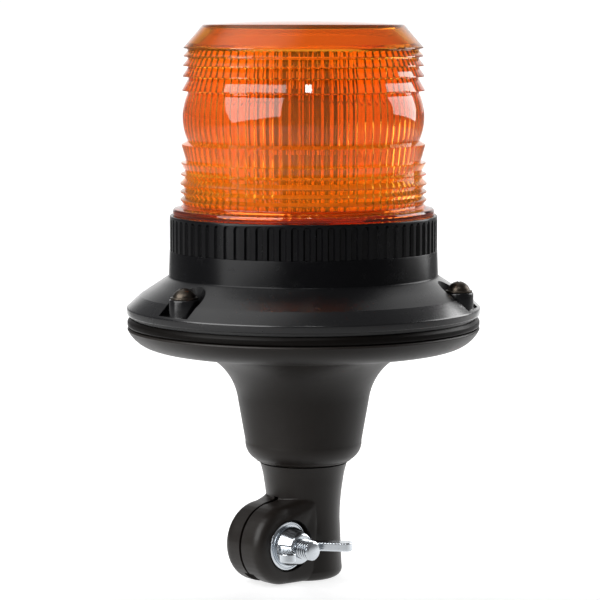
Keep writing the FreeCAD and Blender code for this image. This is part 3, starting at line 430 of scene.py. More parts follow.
def turned_tree():
    """Turns an outline of loose points round Z, with flutes, grooves or a thread cut by rule."""
    tree = tree_inputs("Turned moulding", [
        ("Columns", "Int", 256), ("Rows", "Int", 2), ("Repeats", "Float", 0.0), ("Depth", "Float", 0.0),
        ("Half Width", "Float", 0.0), ("Sharpness", "Float", 1.0), ("Power", "Float", 0.5),
        ("Low", "Float", 0.0), ("High", "Float", 0.0), ("Inner Radius", "Float", 0.0),
        ("Outer Radius", "Float", 0.0),
        ("Pitch", "Float", 0.0), ("Thread Depth", "Float", 0.0), ("Thread Low", "Float", 0.0),
        ("Thread High", "Float", 0.0), ("Material", "Material", None)])
    g = Tree(tree)
    given = g.node("NodeGroupInput", out="Geometry")
    grid = g.node("GeometryNodeMeshGrid", {}, {
        "Size X": 1.0, "Size Y": 1.0, "Vertices X": given.out("Columns") + 1,
        "Vertices Y": given.out("Rows")}, out="Mesh")
    index = g.node("GeometryNodeInputIndex")
    row = index % given.out("Rows")
    column = (index / given.out("Rows") + 0.0001).apply("FLOOR")
    place = g.node("GeometryNodeInputPosition")
    corner = g.node("GeometryNodeSampleIndex", {"data_type": "FLOAT_VECTOR"}, {
        "Geometry": given, "Value": place, "Index": row}, out="Value")
    radius = g.node("ShaderNodeSeparateXYZ", {}, {0: corner}, out="X")
    height = radius.out("Z")
    angle = column / given.out("Columns") * (2.0 * math.pi)
    # distance from the middle of the nearest flute, along the wall and past its ends
    phase = ((angle * given.out("Repeats") / (2.0 * math.pi)).apply("FRACT") - 0.5).apply("ABSOLUTE")
    across = phase / given.out("Repeats").apply("MAXIMUM", 1.0) * (2.0 * math.pi) * radius
    over = (height - given.out("High")).apply("MAXIMUM", 0.0)
    under = (given.out("Low") - height).apply("MAXIMUM", 0.0)
    away = ((across * across + over * over + under * under).apply("SQRT")
            / given.out("Half Width").apply("MAXIMUM", TINY))
    bowl = (1.0 - away * away).apply("MAXIMUM", 0.0) ** given.out("Power")
    bowl = (bowl * given.out("Sharpness")).apply("MINIMUM", 1.0)
    inside = (radius.apply("GREATER_THAN", given.out("Inner Radius"))
              * radius.apply("LESS_THAN", given.out("Outer Radius")))
    radius = radius - bowl * inside * given.out("Depth")
    # thread: a triangular wave with flat crests and roots that climbs one pitch in each turn
    crest, slope = 0.12, 0.78
    climb = (height / given.out("Pitch").apply("MAXIMUM", TINY) - angle / (2.0 * math.pi)).apply("FRACT")
    wave = (climb - 0.5).apply("ABSOLUTE") * 2.0 - crest
    wave = wave.apply("MAXIMUM", 0.0).apply("MINIMUM", slope) / slope
    cut = (height.apply("GREATER_THAN", given.out("Thread Low"))
           * height.apply("LESS_THAN", given.out("Thread High")))
    radius = radius - wave * cut * given.out("Thread Depth")
    point = g.node("ShaderNodeCombineXYZ", {}, {
        0: radius * angle.apply("COSINE"), 1: radius * angle.apply("SINE"), 2: height})
    moved = g.node("GeometryNodeSetPosition", {}, {"Geometry": grid, "Position": point})
    welded = g.node("GeometryNodeMergeByDistance", {}, {"Geometry": moved, "Distance": 0.0000005})
    return g.end(given, welded)


def ring_tree():
    """Repeats a piece at even steps round Z."""
    tree = tree_inputs("Round the axis", [
        ("Count", "Int", 3), ("Radius", "Float", 0.065), ("First Angle", "Float", 0.0),
        ("Material", "Material", None)])
    g = Tree(tree)
    given = g.node("NodeGroupInput", out="Geometry")
    points = g.node("GeometryNodeMeshCircle", {}, {
        "Vertices": given.out("Count"), "Radius": given.out("Radius")}, out="Mesh")
    turn = g.node("ShaderNodeCombineXYZ", {}, {2: given.out("First Angle")})
    start = g.node("GeometryNodeTransform", {}, {"Geometry": points, "Rotation": turn})
    place = g.node("GeometryNodeInputPosition")
    parts = g.node("ShaderNodeSeparateXYZ", {}, {0: place}, out="X")
    facing = parts.out("Y").calc("ARCTAN2", parts.out("Y"), parts)
    spin = g.node("ShaderNodeCombineXYZ", {}, {2: facing})
    spread = g.node("GeometryNodeInstanceOnPoints", {}, {
        "Points": start, "Instance": given, "Rotation": spin})
    return g.end(given, spread)


TREES = {}


def grow(mesh, tree_name, maker, values):
    """Runs a geometry tree on a mesh and returns the plain mesh that comes out."""
    if tree_name not in TREES:
        TREES[tree_name] = maker()
    tree = TREES[tree_name]
    carrier = bpy.data.objects.new("carrier", mesh)
    bpy.context.scene.collection.objects.link(carrier)
    modifier = carrier.modifiers.new(tree_name, "NODES")
    modifier.node_group = tree
    for item in tree.interface.items_tree:
        if item.in_out == "INPUT" and item.name in values:
            modifier[item.identifier] = values[item.name]
    graph = bpy.context.evaluated_depsgraph_get()
    made = bpy.data.meshes.new_from_object(carrier.evaluated_get(graph))
    bpy.data.objects.remove(carrier)
    return made


def turned(outline, material, columns=256, **rules):
    """A solid of revolution. The outline is in millimetres; rule sizes are in metres."""
    line = bpy.data.meshes.new("outline")
    line.from_pydata([(p[0] * MM, 0.0, p[1] * MM) for p in outline], [], [])
    values = {"Columns": columns, "Rows": len(outline), "Material": material}
    values.update({name.replace("_", " "): value for name, value in rules.items()})
    return tidy(grow(line, "Turned moulding", turned_tree, values))


def round_axis(mesh, material, radius):
    """A mesh repeated at each fixing screw."""
    return grow(mesh, "Round the axis", ring_tree, {
        "Count": len(SCREW_ANGLES), "Radius": radius, "First Angle": math.radians(SCREW_ANGLES[0]),
        "Material": material})


def tidy(mesh, sharp=32.0):
    """Welds a closed mesh, points its faces outwards and shades it smooth between sharp edges."""
    work = bmesh.new()
    work.from_mesh(mesh)
    bmesh.ops.remove_doubles(work, verts=work.verts, dist=0.0000008)
    bmesh.ops.dissolve_degenerate(work, edges=work.edges, dist=0.0000004)
    bmesh.ops.recalc_face_normals(work, faces=work.faces)
    work.to_mesh(mesh)
    work.free()
    mesh.shade_smooth()
    mesh.set_sharp_from_angle(angle=math.radians(sharp))
    return mesh


def joined(name, meshes):
    """Several closed meshes as one."""
    work = bmesh.new()
    for mesh in meshes:
        work.from_mesh(mesh)
    made = bpy.data.meshes.new(name)
    work.to_mesh(made)
    work.free()
    for mesh in meshes:
        for material in mesh.materials:
            if material and material.name not in made.materials:
                made.materials.append(material)
    return made


def slab(corners, low, high, axis="Z"):
    """A prism from an outline in millimetres, between two heights along its axis."""
    work = bmesh.new()
    rows = []
    for level in (low, high):
        if axis == "Z":
            rows.append([work.verts.new((u * MM, v * MM, level * MM)) for u, v in corners])
        else:
            rows.append([work.verts.new((u * MM, level * MM, v * MM)) for u, v in corners])
    work.faces.new(rows[0])
    work.faces.new(rows[1])
    for i in range(len(corners)):
        j = (i + 1) % len(corners)
        work.faces.new((rows[0][i], rows[0][j], rows[1][j], rows[1][i]))
    bmesh.ops.recalc_face_normals(work, faces=work.faces)
    mesh = bpy.data.meshes.new("slab")
    work.to_mesh(mesh)
    work.free()
    return mesh


def scratch_object(mesh):
    item = bpy.data.objects.new("scratch", mesh)
    bpy.context.scene.collection.objects.link(item)
    return item


def settled(item):
    """The object's mesh with its modifiers applied; the object goes."""
    graph = bpy.context.evaluated_depsgraph_get()
    mesh = bpy.data.meshes.new_from_object(item.evaluated_get(graph))
    bpy.data.objects.remove(item)
    return mesh


def carve(mesh, cutters, operation="DIFFERENCE"):
    """Cuts or joins closed meshes one after another."""
    for cutter in cutters:
        body = scratch_object(mesh)
        tool = scratch_object(cutter)
        modifier = body.modifiers.new("carve", "BOOLEAN")
        modifier.operation = operation
        modifier.solver = "EXACT"
        modifier.object = tool
        mesh = settled(body)
        bpy.data.objects.remove(tool)
    return mesh


def melted(mesh, voxel, rounds):
    """One smooth moulded skin over overlapping forms, with soft fillets where they meet."""
    body = scratch_object(mesh)
    remesh = body.modifiers.new("skin", "REMESH")
    remesh.mode = "VOXEL"
    remesh.voxel_size = voxel
    relax = body.modifiers.new("relax", "SMOOTH")
    relax.factor = 0.5
    relax.iterations = rounds
    return settled(body)


def placed(mesh, matrix):
    mesh.transform(matrix)
    return mesh


def piece(name, mesh, body, material=None, replaces=()):
    """A finished piece: at the origin, riding on its body and standing for its CAD nodes."""
    if material is not None:
        mesh.materials.clear()
        mesh.materials.append(material)
    mesh.name = name
    made = bpy.data.objects.new(name, mesh)
    bpy.context.scene.collection.objects.link(made)
    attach(made, body)
    if replaces:
        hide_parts(*replaces)
    return made


def dress(node, material):
    """Gives a carried-over CAD node its finish."""
    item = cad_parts[node]
    item.data.materials.clear()
    item.data.materials.append(material)


def about_z(degrees):
    return Matrix.Rotation(math.radians(degrees), 4, "Z")


def around_bolt(x, z):
    """Takes local +Z to the bolt's free end, with local X kept."""
    return Matrix.Translation((x, 0.0, z)) @ Matrix.Rotation(math.radians(90.0), 4, "X")


# ------------------------------------------------------------------ sizes and colours
def length(name, text, default):
    return bpy.props.FloatProperty(name=name, description=text, default=default, unit="LENGTH", precision=5)


def colour(name, text, default):
    return bpy.props.FloatVectorProperty(name=name, description=text, default=default, size=3,
                                         subtype="COLOR", min=0.0, max=1.0)


class BeaconLensSizes(bpy.types.PropertyGroup):
    """Sizes and colours of the drum lens."""
    flutes: bpy.props.IntProperty(name="Flutes", description="Vertical flutes inside the lens", default=80)
    flute_height: length("Flute height", "How far a flute stands in from the wall", 0.0006)
    columns_per_flute: bpy.props.IntProperty(
        name="Columns per flute", description="Mesh columns across one flute", default=10)
    clearness: bpy.props.FloatProperty(name="Clearness", description="Share of light let straight through",
                                       default=0.92, min=0.5, max=1.0)
    crown_amber: colour("Crown amber", "Lens colour of the crown", (0.86, 0.29, 0.018))
    belt_amber: colour("Belt amber", "Lens colour of the belt", (1.0, 0.31, 0.03))
    foot_amber: colour("Foot amber", "Lens colour of the rings", (1.0, 0.39, 0.03))


class BeaconBaseSizes(bpy.types.PropertyGroup):
    """Sizes and colours of the ribbed base."""
    ribs: bpy.props.IntProperty(name="Ribs", description="Grip ribs round the base", default=72)
    groove_depth: length("Groove depth", "Depth of the grooves between ribs", 0.001)
    groove_width: length("Groove width", "Width of the grooves between ribs", 0.0025)
    screw_circle: length("Screw circle radius", "Fixing screws from the axis", 0.065)
    plastic: colour("Base plastic", "Colour of the base moulding", (0.0022, 0.0022, 0.0026))


class BeaconMountSizes(bpy.types.PropertyGroup):
    """Sizes and colours of the flexible mount and the clamp."""
    rubber: colour("Rubber", "Colour of the flexible mount and clamp", (0.0080, 0.0062, 0.0050))
    bolt_x: length("Bolt X", "Bolt axis, X", -0.0193)
    bolt_z: length("Bolt Z", "Bolt axis, Z", 0.0164)
    ear_radius: length("Ear radius", "Ear radius about the bolt", 0.0164)
    slit: length("Slit width", "Width of the clamp slit", 0.0012)


class BeaconFastenerSizes(bpy.types.PropertyGroup):
    """Sizes and colours of the clamp bolt, washer and wing nut."""
    pitch: length("Thread pitch", "Pitch of the bolt thread", 0.00125)
    zinc: colour("Zinc", "Bright plating", (0.66, 0.69, 0.72))
    zinc_tint: colour("Zinc tint", "Cloudier plating", (0.56, 0.60, 0.64))


class BeaconStageSizes(bpy.types.PropertyGroup):
    """The floor, lights and camera."""
    azimuth: bpy.props.FloatProperty(
        name="Azimuth", description="Camera azimuth, degrees", default=-44.0)
    elevation: bpy.props.FloatProperty(
        name="Elevation", description="Camera elevation, degrees", default=6.2)
    slide: bpy.props.FloatProperty(name="Slide", description="Sideways lens shift", default=-0.0058)
    distance: length("Distance", "Camera distance from its aim", 1.05)
    field: length("Field", "Width seen at the aim", 0.246)
    aim_height: length("Aim height", "Height the camera looks at", 0.1144)
    floor: colour("Floor", "Colour of the floor", (0.4, 0.4, 0.4))


# ------------------------------------------------------------------ operators
class BEACON_OT_lens(bpy.types.Operator):
    """Builds the prismatic drum lens with its inner flutes and bayonet skirt"""
    bl_idname = "beacon.lens"
    bl_label = "Lens"

    def execute(self, context):
        sizes = context.scene.beacon_lens
        skin = amber_lens("Amber lens", sizes.belt_amber, sizes.foot_amber, sizes.crown_amber,
                          sizes.clearness)
        bulge = swept((47.3, 179.7), (47.1, 199.1), 24.0, 1.0, 20)
        land = 0.4
        outline = soften(landed([
            (0.0, 228.2), (20.0, 227.9, 60.0), (40.8, 226.7, 1.1), (48.8, 217.4), (46.9, 216.4),
            (48.8, 214.1), (46.9, 213.1), (49.0, 210.3), (46.9, 209.6), (49.2, 206.0),
            (46.7, 205.2), (49.4, 200.3), (47.1, 199.5), (47.1, 199.1)], land))[:-1]
        outline += list(reversed(bulge))
        outline += soften(landed([
            (47.3, 179.7), (49.8, 178.2), (47.9, 171.3), (50.0, 170.9), (48.3, 167.4),
            (50.2, 166.4), (48.4, 164.7), (50.4, 162.5), (48.4, 160.7), (50.4, 159.2),
            (48.6, 157.6), (50.4, 156.0), (49.0, 154.2, 0.3), (50.4, 152.9, 0.4), (53.0, 152.3, 0.7),
            (53.4, 151.4, 0.4), (53.4, 149.9, 0.4), (52.9, 149.5, 0.2), (50.6, 149.5), (50.6, 143.0),
            (48.6, 143.0), (48.6, 150.8)], land))[1:]
        wall = 45.3
        heights = [151.7, 153.4, 154.2] + [154.2 + 61.0 * k / 8 for k in range(1, 9)] + [216.0, 216.6]
        outline += [Vector((wall, height)) for height in heights]
        outline += soften([(wall, 216.6), (44.6, 217.6, 0.5), (38.6, 223.9, 1.0), (20.0, 225.3, 60.0),
                           (0.0, 225.6)])[1:]
        drum = turned(outline, skin, sizes.flutes * sizes.columns_per_flute, Repeats=float(sizes.flutes),
                      Depth=sizes.flute_height, Half_Width=0.0015, Sharpness=1.0, Power=1.15,
                      Low=0.1548, High=0.2146, Inner_Radius=0.0452, Outer_Radius=0.0454)
        lug = path([(49.5, -7.0), (51.274, -7.0, 51.75, 1.0), (51.274, 7.0), (49.5, 7.0)], 4)
        lugs = [placed(slab(lug, 143.0, 145.6), about_z(120.0 * k - 30.0)) for k in range(3)]
        drum = joined("lens_drum", [drum] + lugs)
        drum.set_sharp_from_angle(angle=math.radians(22.0))
        piece("lens_drum", drum, "lens", skin, ("lens",))
        return {"FINISHED"}


class BEACON_OT_base(bpy.types.Operator):
    """Builds the base housing: ribbed grip, cone, rim, screw recesses and bosses"""
    bl_idname = "beacon.base"
    bl_label = "Base housing"

    def execute(self, context):
        sizes = context.scene.beacon_base
        skin = moulded("Base plastic", sizes.plastic, 1500.0, 0.24, 0.00002, 1.3, 0.13, 0.006, (
            (0.1352, 0.1356, 0.25), (0.1250, 0.1240, 0.7), (0.1175, 0.1165, 0.3)))
        shell_line = soften([
            (10.0, 107.7), (70.5, 107.7, 0.2), (70.5, 109.1, 0.15), (72.2, 109.1, 0.5), (72.4, 112.0, 0.8),
            (66.9, 117.0, 0.5), (61.0, 120.9, 30.0), (55.1, 124.75, 0.9), (54.7, 135.3, 0.25),
            (53.5, 135.3), (53.5, 140.0), (44.0, 140.0), (44.0, 110.4), (10.0, 110.4), (10.0, 107.7)])
        shell = turned(shell_line, skin, 360)
        cutters = []
        for angle in SCREW_ANGLES:
            pit = [(74.5, -8.4), (74.5, 8.4)] + arc(65.0, 8.4, range(90, 271, 9))
            cutters.append(placed(slab(pit, 112.8, 127.0), about_z(angle)))
        vent = arc(67.5, 3.2, range(0, 360, 15))
        cutters.append(placed(slab(vent, 113.6, 122.0), about_z(120.0)))
        shell = tidy(carve(shell, cutters))
        rows = [135.3, 135.9, 137.0, 140.0, 143.5] + [146.0 + 0.2 * k for k in range(13)]
        band_line = points((51.0, 135.3), (54.6, 135.3)) + [Vector((54.6, z)) for z in rows[1:]]
        band_line += soften([(54.6, 148.6), (54.6, 149.5, 0.45), (53.2, 149.5), (53.2, 148.4),
                             (52.2, 148.4), (52.2, 149.5), (51.0, 149.5, 0.3), (51.0, 135.3)])[1:]
        half = sizes.groove_width / 2.0
        band = turned(band_line, skin, sizes.ribs * 16, Repeats=float(sizes.ribs),
                      Depth=sizes.groove_depth, Half_Width=half, Sharpness=2.2,
                      Low=0.130, High=0.1483 - half, Inner_Radius=0.05455, Outer_Radius=0.05465)
        post = turned(soften([(0.0, 112.0), (6.0, 112.0), (6.0, 119.6, 0.7), (3.1, 119.6, 0.2),
                              (3.1, 119.0), (0.0, 119.0)]), skin, 48)
        bosses = round_axis(post, skin, sizes.screw_circle)
        whole = joined("base_shell", [shell, tidy(band), tidy(bosses)])
        whole.set_sharp_from_angle(angle=math.radians(32.0))
        piece("base_shell", whole, "beacon", skin, ("base_housing",))
        return {"FINISHED"}


class BEACON_OT_mount(bpy.types.Operator):
    """Builds the flexible rubber mount and the gasket above it"""
    bl_idname = "beacon.mount"
    bl_label = "Flexible mount and gasket"

    def execute(self, context):
        sizes = context.scene.beacon_mount
        rubber = moulded("Mount rubber", sizes.rubber, 3000.0, 0.44, 0.00007, 1.3, 0.26, 0.01)
        dark = tuple(c * 0.35 for c in sizes.rubber)
        band = moulded("Gasket rubber", dark, 2200.0, 0.36, 0.00004, 1.2, 0.09, 0.003)
        line = path([
            (18.156, 47.9), (19.0, 48.3, 1.5, 1.0), (20.0, 49.1, 8.0, 1.0), (24.0, 56.6),
            (27.0, 73.8, 24.0, -1.0), (43.0, 93.3, 80.0, -1.0), (60.0, 95.4, 13.6, 1.0),
            (72.0, 102.9, 0.5, 1.0), (72.0, 103.5, 0.5, 1.0), (71.5, 103.9), (58.0, 103.9), (58.0, 98.4),
            (37.0, 97.0, 52.0, 1.0), (20.0, 64.0), (4.2, 64.0), (4.2, 59.349, 19.8, -1.0),
            (18.156, 47.9)], 20)
        piece("mount_trumpet", turned(line, rubber), "beacon",
              replaces=("flexible_mount",))
        gasket = soften([(59.0, 103.9), (71.2, 103.9, 0.3), (72.1, 104.8, 0.8), (72.1, 106.5, 0.9),
                         (71.2, 107.7, 0.4), (59.0, 107.7), (59.0, 103.9)])
        piece("gasket_band", turned(gasket, band), "beacon",
              replaces=("base_gasket",))
        return {"FINISHED"}


class BEACON_OT_clamp(bpy.types.Operator):
    """Builds the split clamp with its ear, slit, notches, spot face and pole socket"""
    bl_idname = "beacon.clamp"
    bl_label = "Clamp"

    def execute(self, context):
        sizes = context.scene.beacon_mount
        skin = moulded("Clamp moulding", sizes.rubber, 2800.0, 0.37, 0.00007, 1.3, 0.27, 0.01)
        bx = sizes.bolt_x / MM
        bz = sizes.bolt_z / MM
        reach = sizes.ear_radius / MM
        tube = path([
            (0.0, 0.0), (13.2, 0.0, 3.6, 1.0), (15.8, 4.5), (15.0, 24.0, 100.0, -1.0),
            (16.35, 40.0, 38.0, -1.0), (18.0, 47.4), (15.527, 47.4, 17.2, 1.0), (0.0, 57.2)])
        core = [Vector((max(p.x - 0.15, 0.0), p.y)) for p in tube]
        root = -3.0
        lean = math.radians(5.0)
        ear = path([
            (root, 0.0), (root, 38.95, 38.0, -1.0),
            (bx - reach * math.sin(lean), bz + reach * math.cos(lean), reach, 1.0), (bx, 0.0)], 20)
        cheek = scratch_object(slab(ear, -11.4, 10.5, "Y"))
        soft = cheek.modifiers.new("round", "BEVEL")
        soft.width = 0.004
        soft.segments = 6
        soft.limit_method = "ANGLE"
        soft.angle_limit = math.radians(50.0)
        soft.use_clamp_overlap = False
        cheek = settled(cheek)
        near_flare, far_flare = 0.288, 0.39
        for vertex in cheek.vertices:
            # the flanks widen from the bolt until they touch the tube
            run = max(0.0, min(1.0, (vertex.co.x - bx * MM) / ((root - bx) * MM)))
            vertex.co.y *= 1.0 + run * (near_flare if vertex.co.y < 0.0 else far_flare)
        block = melted(joined("clamp", [turned(core, skin, 160), cheek]), 0.00042, 9)
        block = carve(block, [turned(tube, skin, 192)], "UNION")
        slit = sizes.slit / MM / 2.0
        bore = turned(points((0.0, -1.0), (13.6, -1.0), (12.15, 0.9), (12.15, 22.0), (12.6, 22.6),
                             (12.6, 36.0), (3.2, 36.0), (3.2, 59.0), (0.0, 59.0)), skin, 96)
        to_bolt = around_bolt(sizes.bolt_x, sizes.bolt_z)
        hole = placed(turned(points((0.0, -16.0), (4.25, -16.0), (4.25, 14.0), (0.0, 14.0)),
                             skin, 48), to_bolt)
        spot = placed(turned(points((0.0, 9.9), (10.7, 9.9), (10.9, 18.0), (0.0, 18.0)),
                             skin, 96), to_bolt)
        cuts = [bore, hole, spot, slab(hexagon(13.4, bx, bz), 5.0, 14.0, "Y")]
        # the slit and the wider notches at its top and bottom
        for low, high, half in ((-1.0, 34.6, slit), (32.4, 34.7, 1.1), (-1.0, 4.9, 2.9)):
            cuts.append(slab(rectangle(-40.0, -8.0, low, high), -half, half, "Y"))
        clamp = tidy(carve(block, cuts), 40.0)
        piece("clamp_moulding", clamp, "clamp", skin, ("clamp_body",))
        return {"FINISHED"}


class BEACON_OT_fastener(bpy.types.Operator):
    """Builds the threaded clamp bolt, its washer and the wing nut"""
    bl_idname = "beacon.fastener"
    bl_label = "Clamp bolt, washer and wing nut"

    def execute(self, context):
        sizes = context.scene.beacon_fastener
        mount = context.scene.beacon_mount
        zinc = plated("Bright zinc", sizes.zinc, sizes.zinc_tint, 0.16)
        threaded = plated("Threaded zinc", sizes.zinc, sizes.zinc_tint, 0.2,
                          painted_root_shade=(mount.bolt_x, mount.bolt_z, 0.0033, 0.0038, 0.0253))
        to_bolt = around_bolt(mount.bolt_x, mount.bolt_z)
        rows = [Vector((3.96, 2.0 + 0.15625 * k)) for k in range(149)]
        shank = points((0.0, -6.0), (3.96, -6.0)) + rows
        shank += points((3.9, 25.5), (3.3, 26.1), (2.9, 26.3), (0.0, 26.3))
        bolt = turned(shank, zinc, 48, Pitch=sizes.pitch, Thread_Depth=0.00085, Thread_Low=0.0021,
                      Thread_High=0.0252)
        head = scratch_object(slab(hexagon(13.0), -10.3, -5.0))
        edge = head.modifiers.new("edge", "BEVEL")
        edge.width = 0.0005
        edge.segments = 3
        whole = joined("clamp_bolt_threaded", [bolt, settled(head)])
        piece("clamp_bolt_threaded", tidy(placed(whole, to_bolt)), "clamp", threaded,
              ("clamp_bolt",))
        ring = path([(4.2, 9.9), (9.7, 9.9, 0.3, 1.0), (10.0, 10.2), (10.0, 11.1, 0.4, 1.0),
                     (9.6, 11.5), (9.25, 11.5), (9.05, 11.1), (8.75, 11.1), (8.6, 11.5),
                     (4.5, 11.5, 0.3, 1.0), (4.2, 11.2), (4.2, 9.9)], 4)
        washer = turned(ring, zinc, 128)
        piece("washer_ring", placed(washer, to_bolt), "washer", replaces=("clamp_washer",))
        seat = 11.5
        hub = turned(soften([(0.0, seat), (8.0, seat, 0.3), (8.0, seat + 1.4, 0.6), (6.3, seat + 7.2, 0.6),
                             (5.6, seat + 8.0, 0.4), (0.0, seat + 8.0)]), zinc, 96)
        wing = path([(3.0, 1.5), (7.0, 1.5), (12.5, 8.0), (18.6, 14.0, 3.4, 1.0), (14.2, 18.9), (9.5, 12.5),
                     (6.5, 8.5), (3.0, 8.0)])[:-1]
        blades = [slab([(side * x, seat + h) for x, h in wing], -1.8, 1.8, "Y") for side in (1.0, -1.0)]
        nut = melted(joined("nut", [hub] + blades), 0.00026, 7)
        bore = turned(points((0.0, seat - 1.0), (4.05, seat - 1.0), (4.05, seat + 9.0), (0.0, seat + 9.0)),
                      zinc, 64)
        nut = tidy(carve(nut, [bore]), 40.0)
        piece("wing_nut_forged", placed(nut, to_bolt), "nut", zinc, ("wing_nut",))
        return {"FINISHED"}


class BEACON_OT_screws(bpy.types.Operator):
    """Builds the three dome-head fixing screws and their washers"""
    bl_idname = "beacon.screws"
    bl_label = "Fixing screws and washers"

    def execute(self, context):
        sizes = context.scene.beacon_base
        steel = plated("Dark screw steel", (0.085, 0.07, 0.055), (0.05, 0.042, 0.035), 0.3)
        dome = swept((4.4, 121.2), (0.0, 124.0), 5.2, 1.0, 12)
        head = turned(points((0.0, 100.4), (2.4, 100.4), (2.4, 120.4), (4.5, 120.4)) + dome, steel, 64)
        cross = [slab(rectangle(-u, u, -v, v), 122.4, 126.0) for u, v in ((2.0, 0.4), (0.4, 2.0))]
        heads = round_axis(tidy(carve(head, cross)), steel, sizes.screw_circle)
        piece("base_screw_set", tidy(heads), "beacon", steel, ("base_screws",))
        lip = soften([(2.55, 119.6), (5.5, 119.6, 0.2), (5.5, 120.4, 0.3), (2.55, 120.4), (2.55, 119.6)])
        lips = round_axis(turned(lip, steel, 64), steel, sizes.screw_circle)
        piece("screw_washer_set", tidy(lips), "beacon", steel, ("screw_washers",))
        return {"FINISHED"}


class BEACON_OT_inside(bpy.types.Operator):
    """Finishes the light tower, reflector, driver, contacts, leads, seal, liner and inserts"""
    bl_idname = "beacon.inside"
    bl_label = "Inner pieces"

    def execute(self, context):
        steel = plated("Small screw steel", (0.30, 0.28, 0.25), (0.2, 0.19, 0.17), 0.3)
        brass = plated("Contact brass", (0.72, 0.52, 0.20), (0.60, 0.42, 0.16), 0.25)
        package = moulded("Chip package", (0.02, 0.02, 0.022), 1200.0, 0.4)
        anodised = plated("Anodised tower", (0.42, 0.42, 0.43), (0.33, 0.33, 0.34), 0.4)
        lead = moulded("Lead jacket", (0.25, 0.02, 0.015), 800.0, 0.35)
        finishes = {
            "contact_carrier": moulded("Carrier plastic", (0.03, 0.03, 0.03), 1400.0, 0.45),
            "centre_contact": brass, "earth_contact": brass, "thread_inserts": brass,
            "socket_leads": lead, "beacon_leads": lead,
            "flex_liner": moulded("Liner plastic", (0.62, 0.60, 0.54), 900.0, 0.4),
            "driver_board": laminate("Driver board", (0.02, 0.14, 0.06), (0.05, 0.24, 0.10)),
            "board_screws": steel, "cap_screw": steel,
            "terminal_block": moulded("Terminal plastic", (0.04, 0.20, 0.08), 900.0, 0.4),
            "capacitors": plated("Capacitor can", (0.62, 0.64, 0.66), (0.52, 0.54, 0.58), 0.3),
            "inductor": package, "driver_chips": package,
            "light_tower": anodised, "tower_cap": anodised,
            "emitter_boards": laminate("Emitter board", (0.16, 0.16, 0.16), (0.24, 0.24, 0.24)),
            "emitters": phosphor("Emitter", (0.95, 0.72, 0.12)),
            "reflector_dish": moulded("Reflector white", (0.85, 0.85, 0.83), 600.0, 0.18, 0.00001,
                                      1.02, 0.6, 0.0),
            "lens_seal": moulded("Seal rubber", (0.03, 0.03, 0.03), 1800.0, 0.55)}
        for node, material in finishes.items():
            dress(node, material)
        return {"FINISHED"}


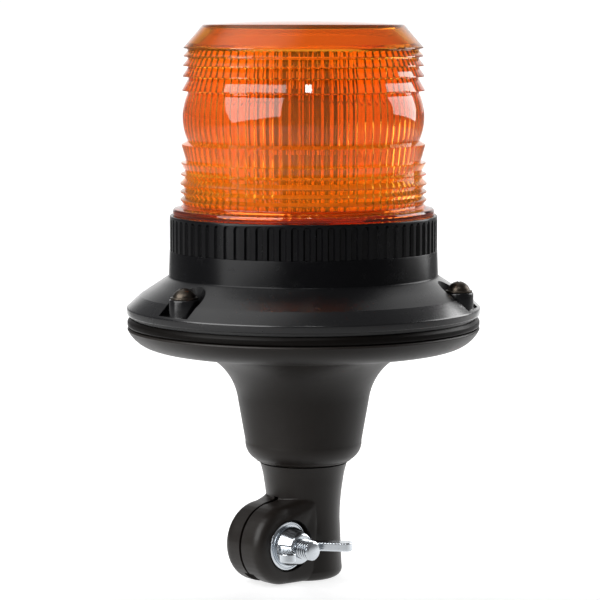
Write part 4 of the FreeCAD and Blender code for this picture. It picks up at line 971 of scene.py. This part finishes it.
class BEACON_OT_stage(bpy.types.Operator):
    """Sets the floor, the soft lights and the camera"""
    bl_idname = "beacon.stage"
    bl_label = "Stage"

    def execute(self, context):
        sizes = context.scene.beacon_stage
        sweep = [(x, y, 0.0) for x, y in rectangle(-FLOOR_REACH, FLOOR_REACH, -FLOOR_REACH, FLOOR_REACH)]
        turn = math.radians(sizes.azimuth)
        across = (math.cos(turn), math.sin(turn), 0.0)
        behind = (-math.sin(turn), math.cos(turn), 0.0)
        plane = bpy.data.meshes.new("floor")
        plane.from_pydata(sweep, [], [(0, 1, 2, 3)])
        plane.materials.append(floor_finish("Pale floor", sizes.floor, across, behind))
        ground = bpy.data.objects.new("floor", plane)
        context.scene.collection.objects.link(ground)
        context.scene.world = soft_studio("Soft studio", across, behind)
        context.scene.view_settings.view_transform = "Standard"
        middle = Vector((0.0, 0.0, sizes.aim_height))
        for name, swing, rise, roll, away, width, tall, glow in LAMPS:
            lamp = bpy.data.lights.new(name, "AREA")
            lamp.shape = "RECTANGLE"
            lamp.size = width
            lamp.size_y = tall
            lamp.energy = glow * math.pi * width * tall
            holder = bpy.data.objects.new(name, lamp)
            side = turn + math.radians(swing)
            lift = math.radians(rise)
            holder.location = LENS_MIDDLE + away * Vector((
                math.sin(side) * math.cos(lift), -math.cos(side) * math.cos(lift), math.sin(lift)))
            aim = (LENS_MIDDLE - holder.location).to_track_quat("-Z", "Y").to_matrix().to_4x4()
            holder.rotation_euler = (aim @ about_z(roll)).to_euler()
            context.scene.collection.objects.link(holder)
        lens = bpy.data.cameras.new("Camera")
        lens.sensor_width = 36.0
        lens.lens = lens.sensor_width * sizes.distance / sizes.field
        lens.shift_x = sizes.slide
        lens.clip_start = 0.05
        lens.clip_end = 90.0
        camera = bpy.data.objects.new("Camera", lens)
        tilt = math.radians(sizes.elevation)
        back = Vector((math.sin(turn) * math.cos(tilt), -math.cos(turn) * math.cos(tilt), math.sin(tilt)))
        camera.location = middle + back * sizes.distance
        camera.rotation_euler = (-back).to_track_quat("-Z", "Y").to_euler()
        context.scene.collection.objects.link(camera)
        context.scene.camera = camera
        return {"FINISHED"}


class BEACON_PT_builder(bpy.types.Panel):
    """Lists the beacon's pieces"""
    bl_idname = "BEACON_PT_builder"
    bl_label = "Pole beacon"
    bl_space_type = "VIEW_3D"
    bl_region_type = "UI"
    bl_category = "Beacon"

    def draw(self, context):
        for group in GROUPS:
            box = self.layout.box()
            for name in getattr(context.scene, group).bl_rna.properties.keys():
                if name not in ("rna_type", "name"):
                    box.prop(getattr(context.scene, group), name)
        for operator in OPERATORS:
            self.layout.operator(operator.bl_idname)


GROUPS = {
    "beacon_lens": BeaconLensSizes, "beacon_base": BeaconBaseSizes, "beacon_mount": BeaconMountSizes,
    "beacon_fastener": BeaconFastenerSizes, "beacon_stage": BeaconStageSizes}
OPERATORS = (BEACON_OT_stage, BEACON_OT_lens, BEACON_OT_base, BEACON_OT_mount, BEACON_OT_clamp,
             BEACON_OT_fastener, BEACON_OT_screws, BEACON_OT_inside)


def register():
    for group in GROUPS.values():
        bpy.utils.register_class(group)
    for operator in OPERATORS:
        bpy.utils.register_class(operator)
    bpy.utils.register_class(BEACON_PT_builder)
    for name, group in GROUPS.items():
        setattr(bpy.types.Scene, name, bpy.props.PointerProperty(type=group))


def unregister():
    for name in GROUPS:
        delattr(bpy.types.Scene, name)
    bpy.utils.unregister_class(BEACON_PT_builder)
    for operator in reversed(OPERATORS):
        bpy.utils.unregister_class(operator)
    for group in reversed(list(GROUPS.values())):
        bpy.utils.unregister_class(group)


def main():
    register()
    for operator in OPERATORS:
        group, name = operator.bl_idname.split(".")
        getattr(getattr(bpy.ops, group), name)()


if __name__ == "__main__":
    main()
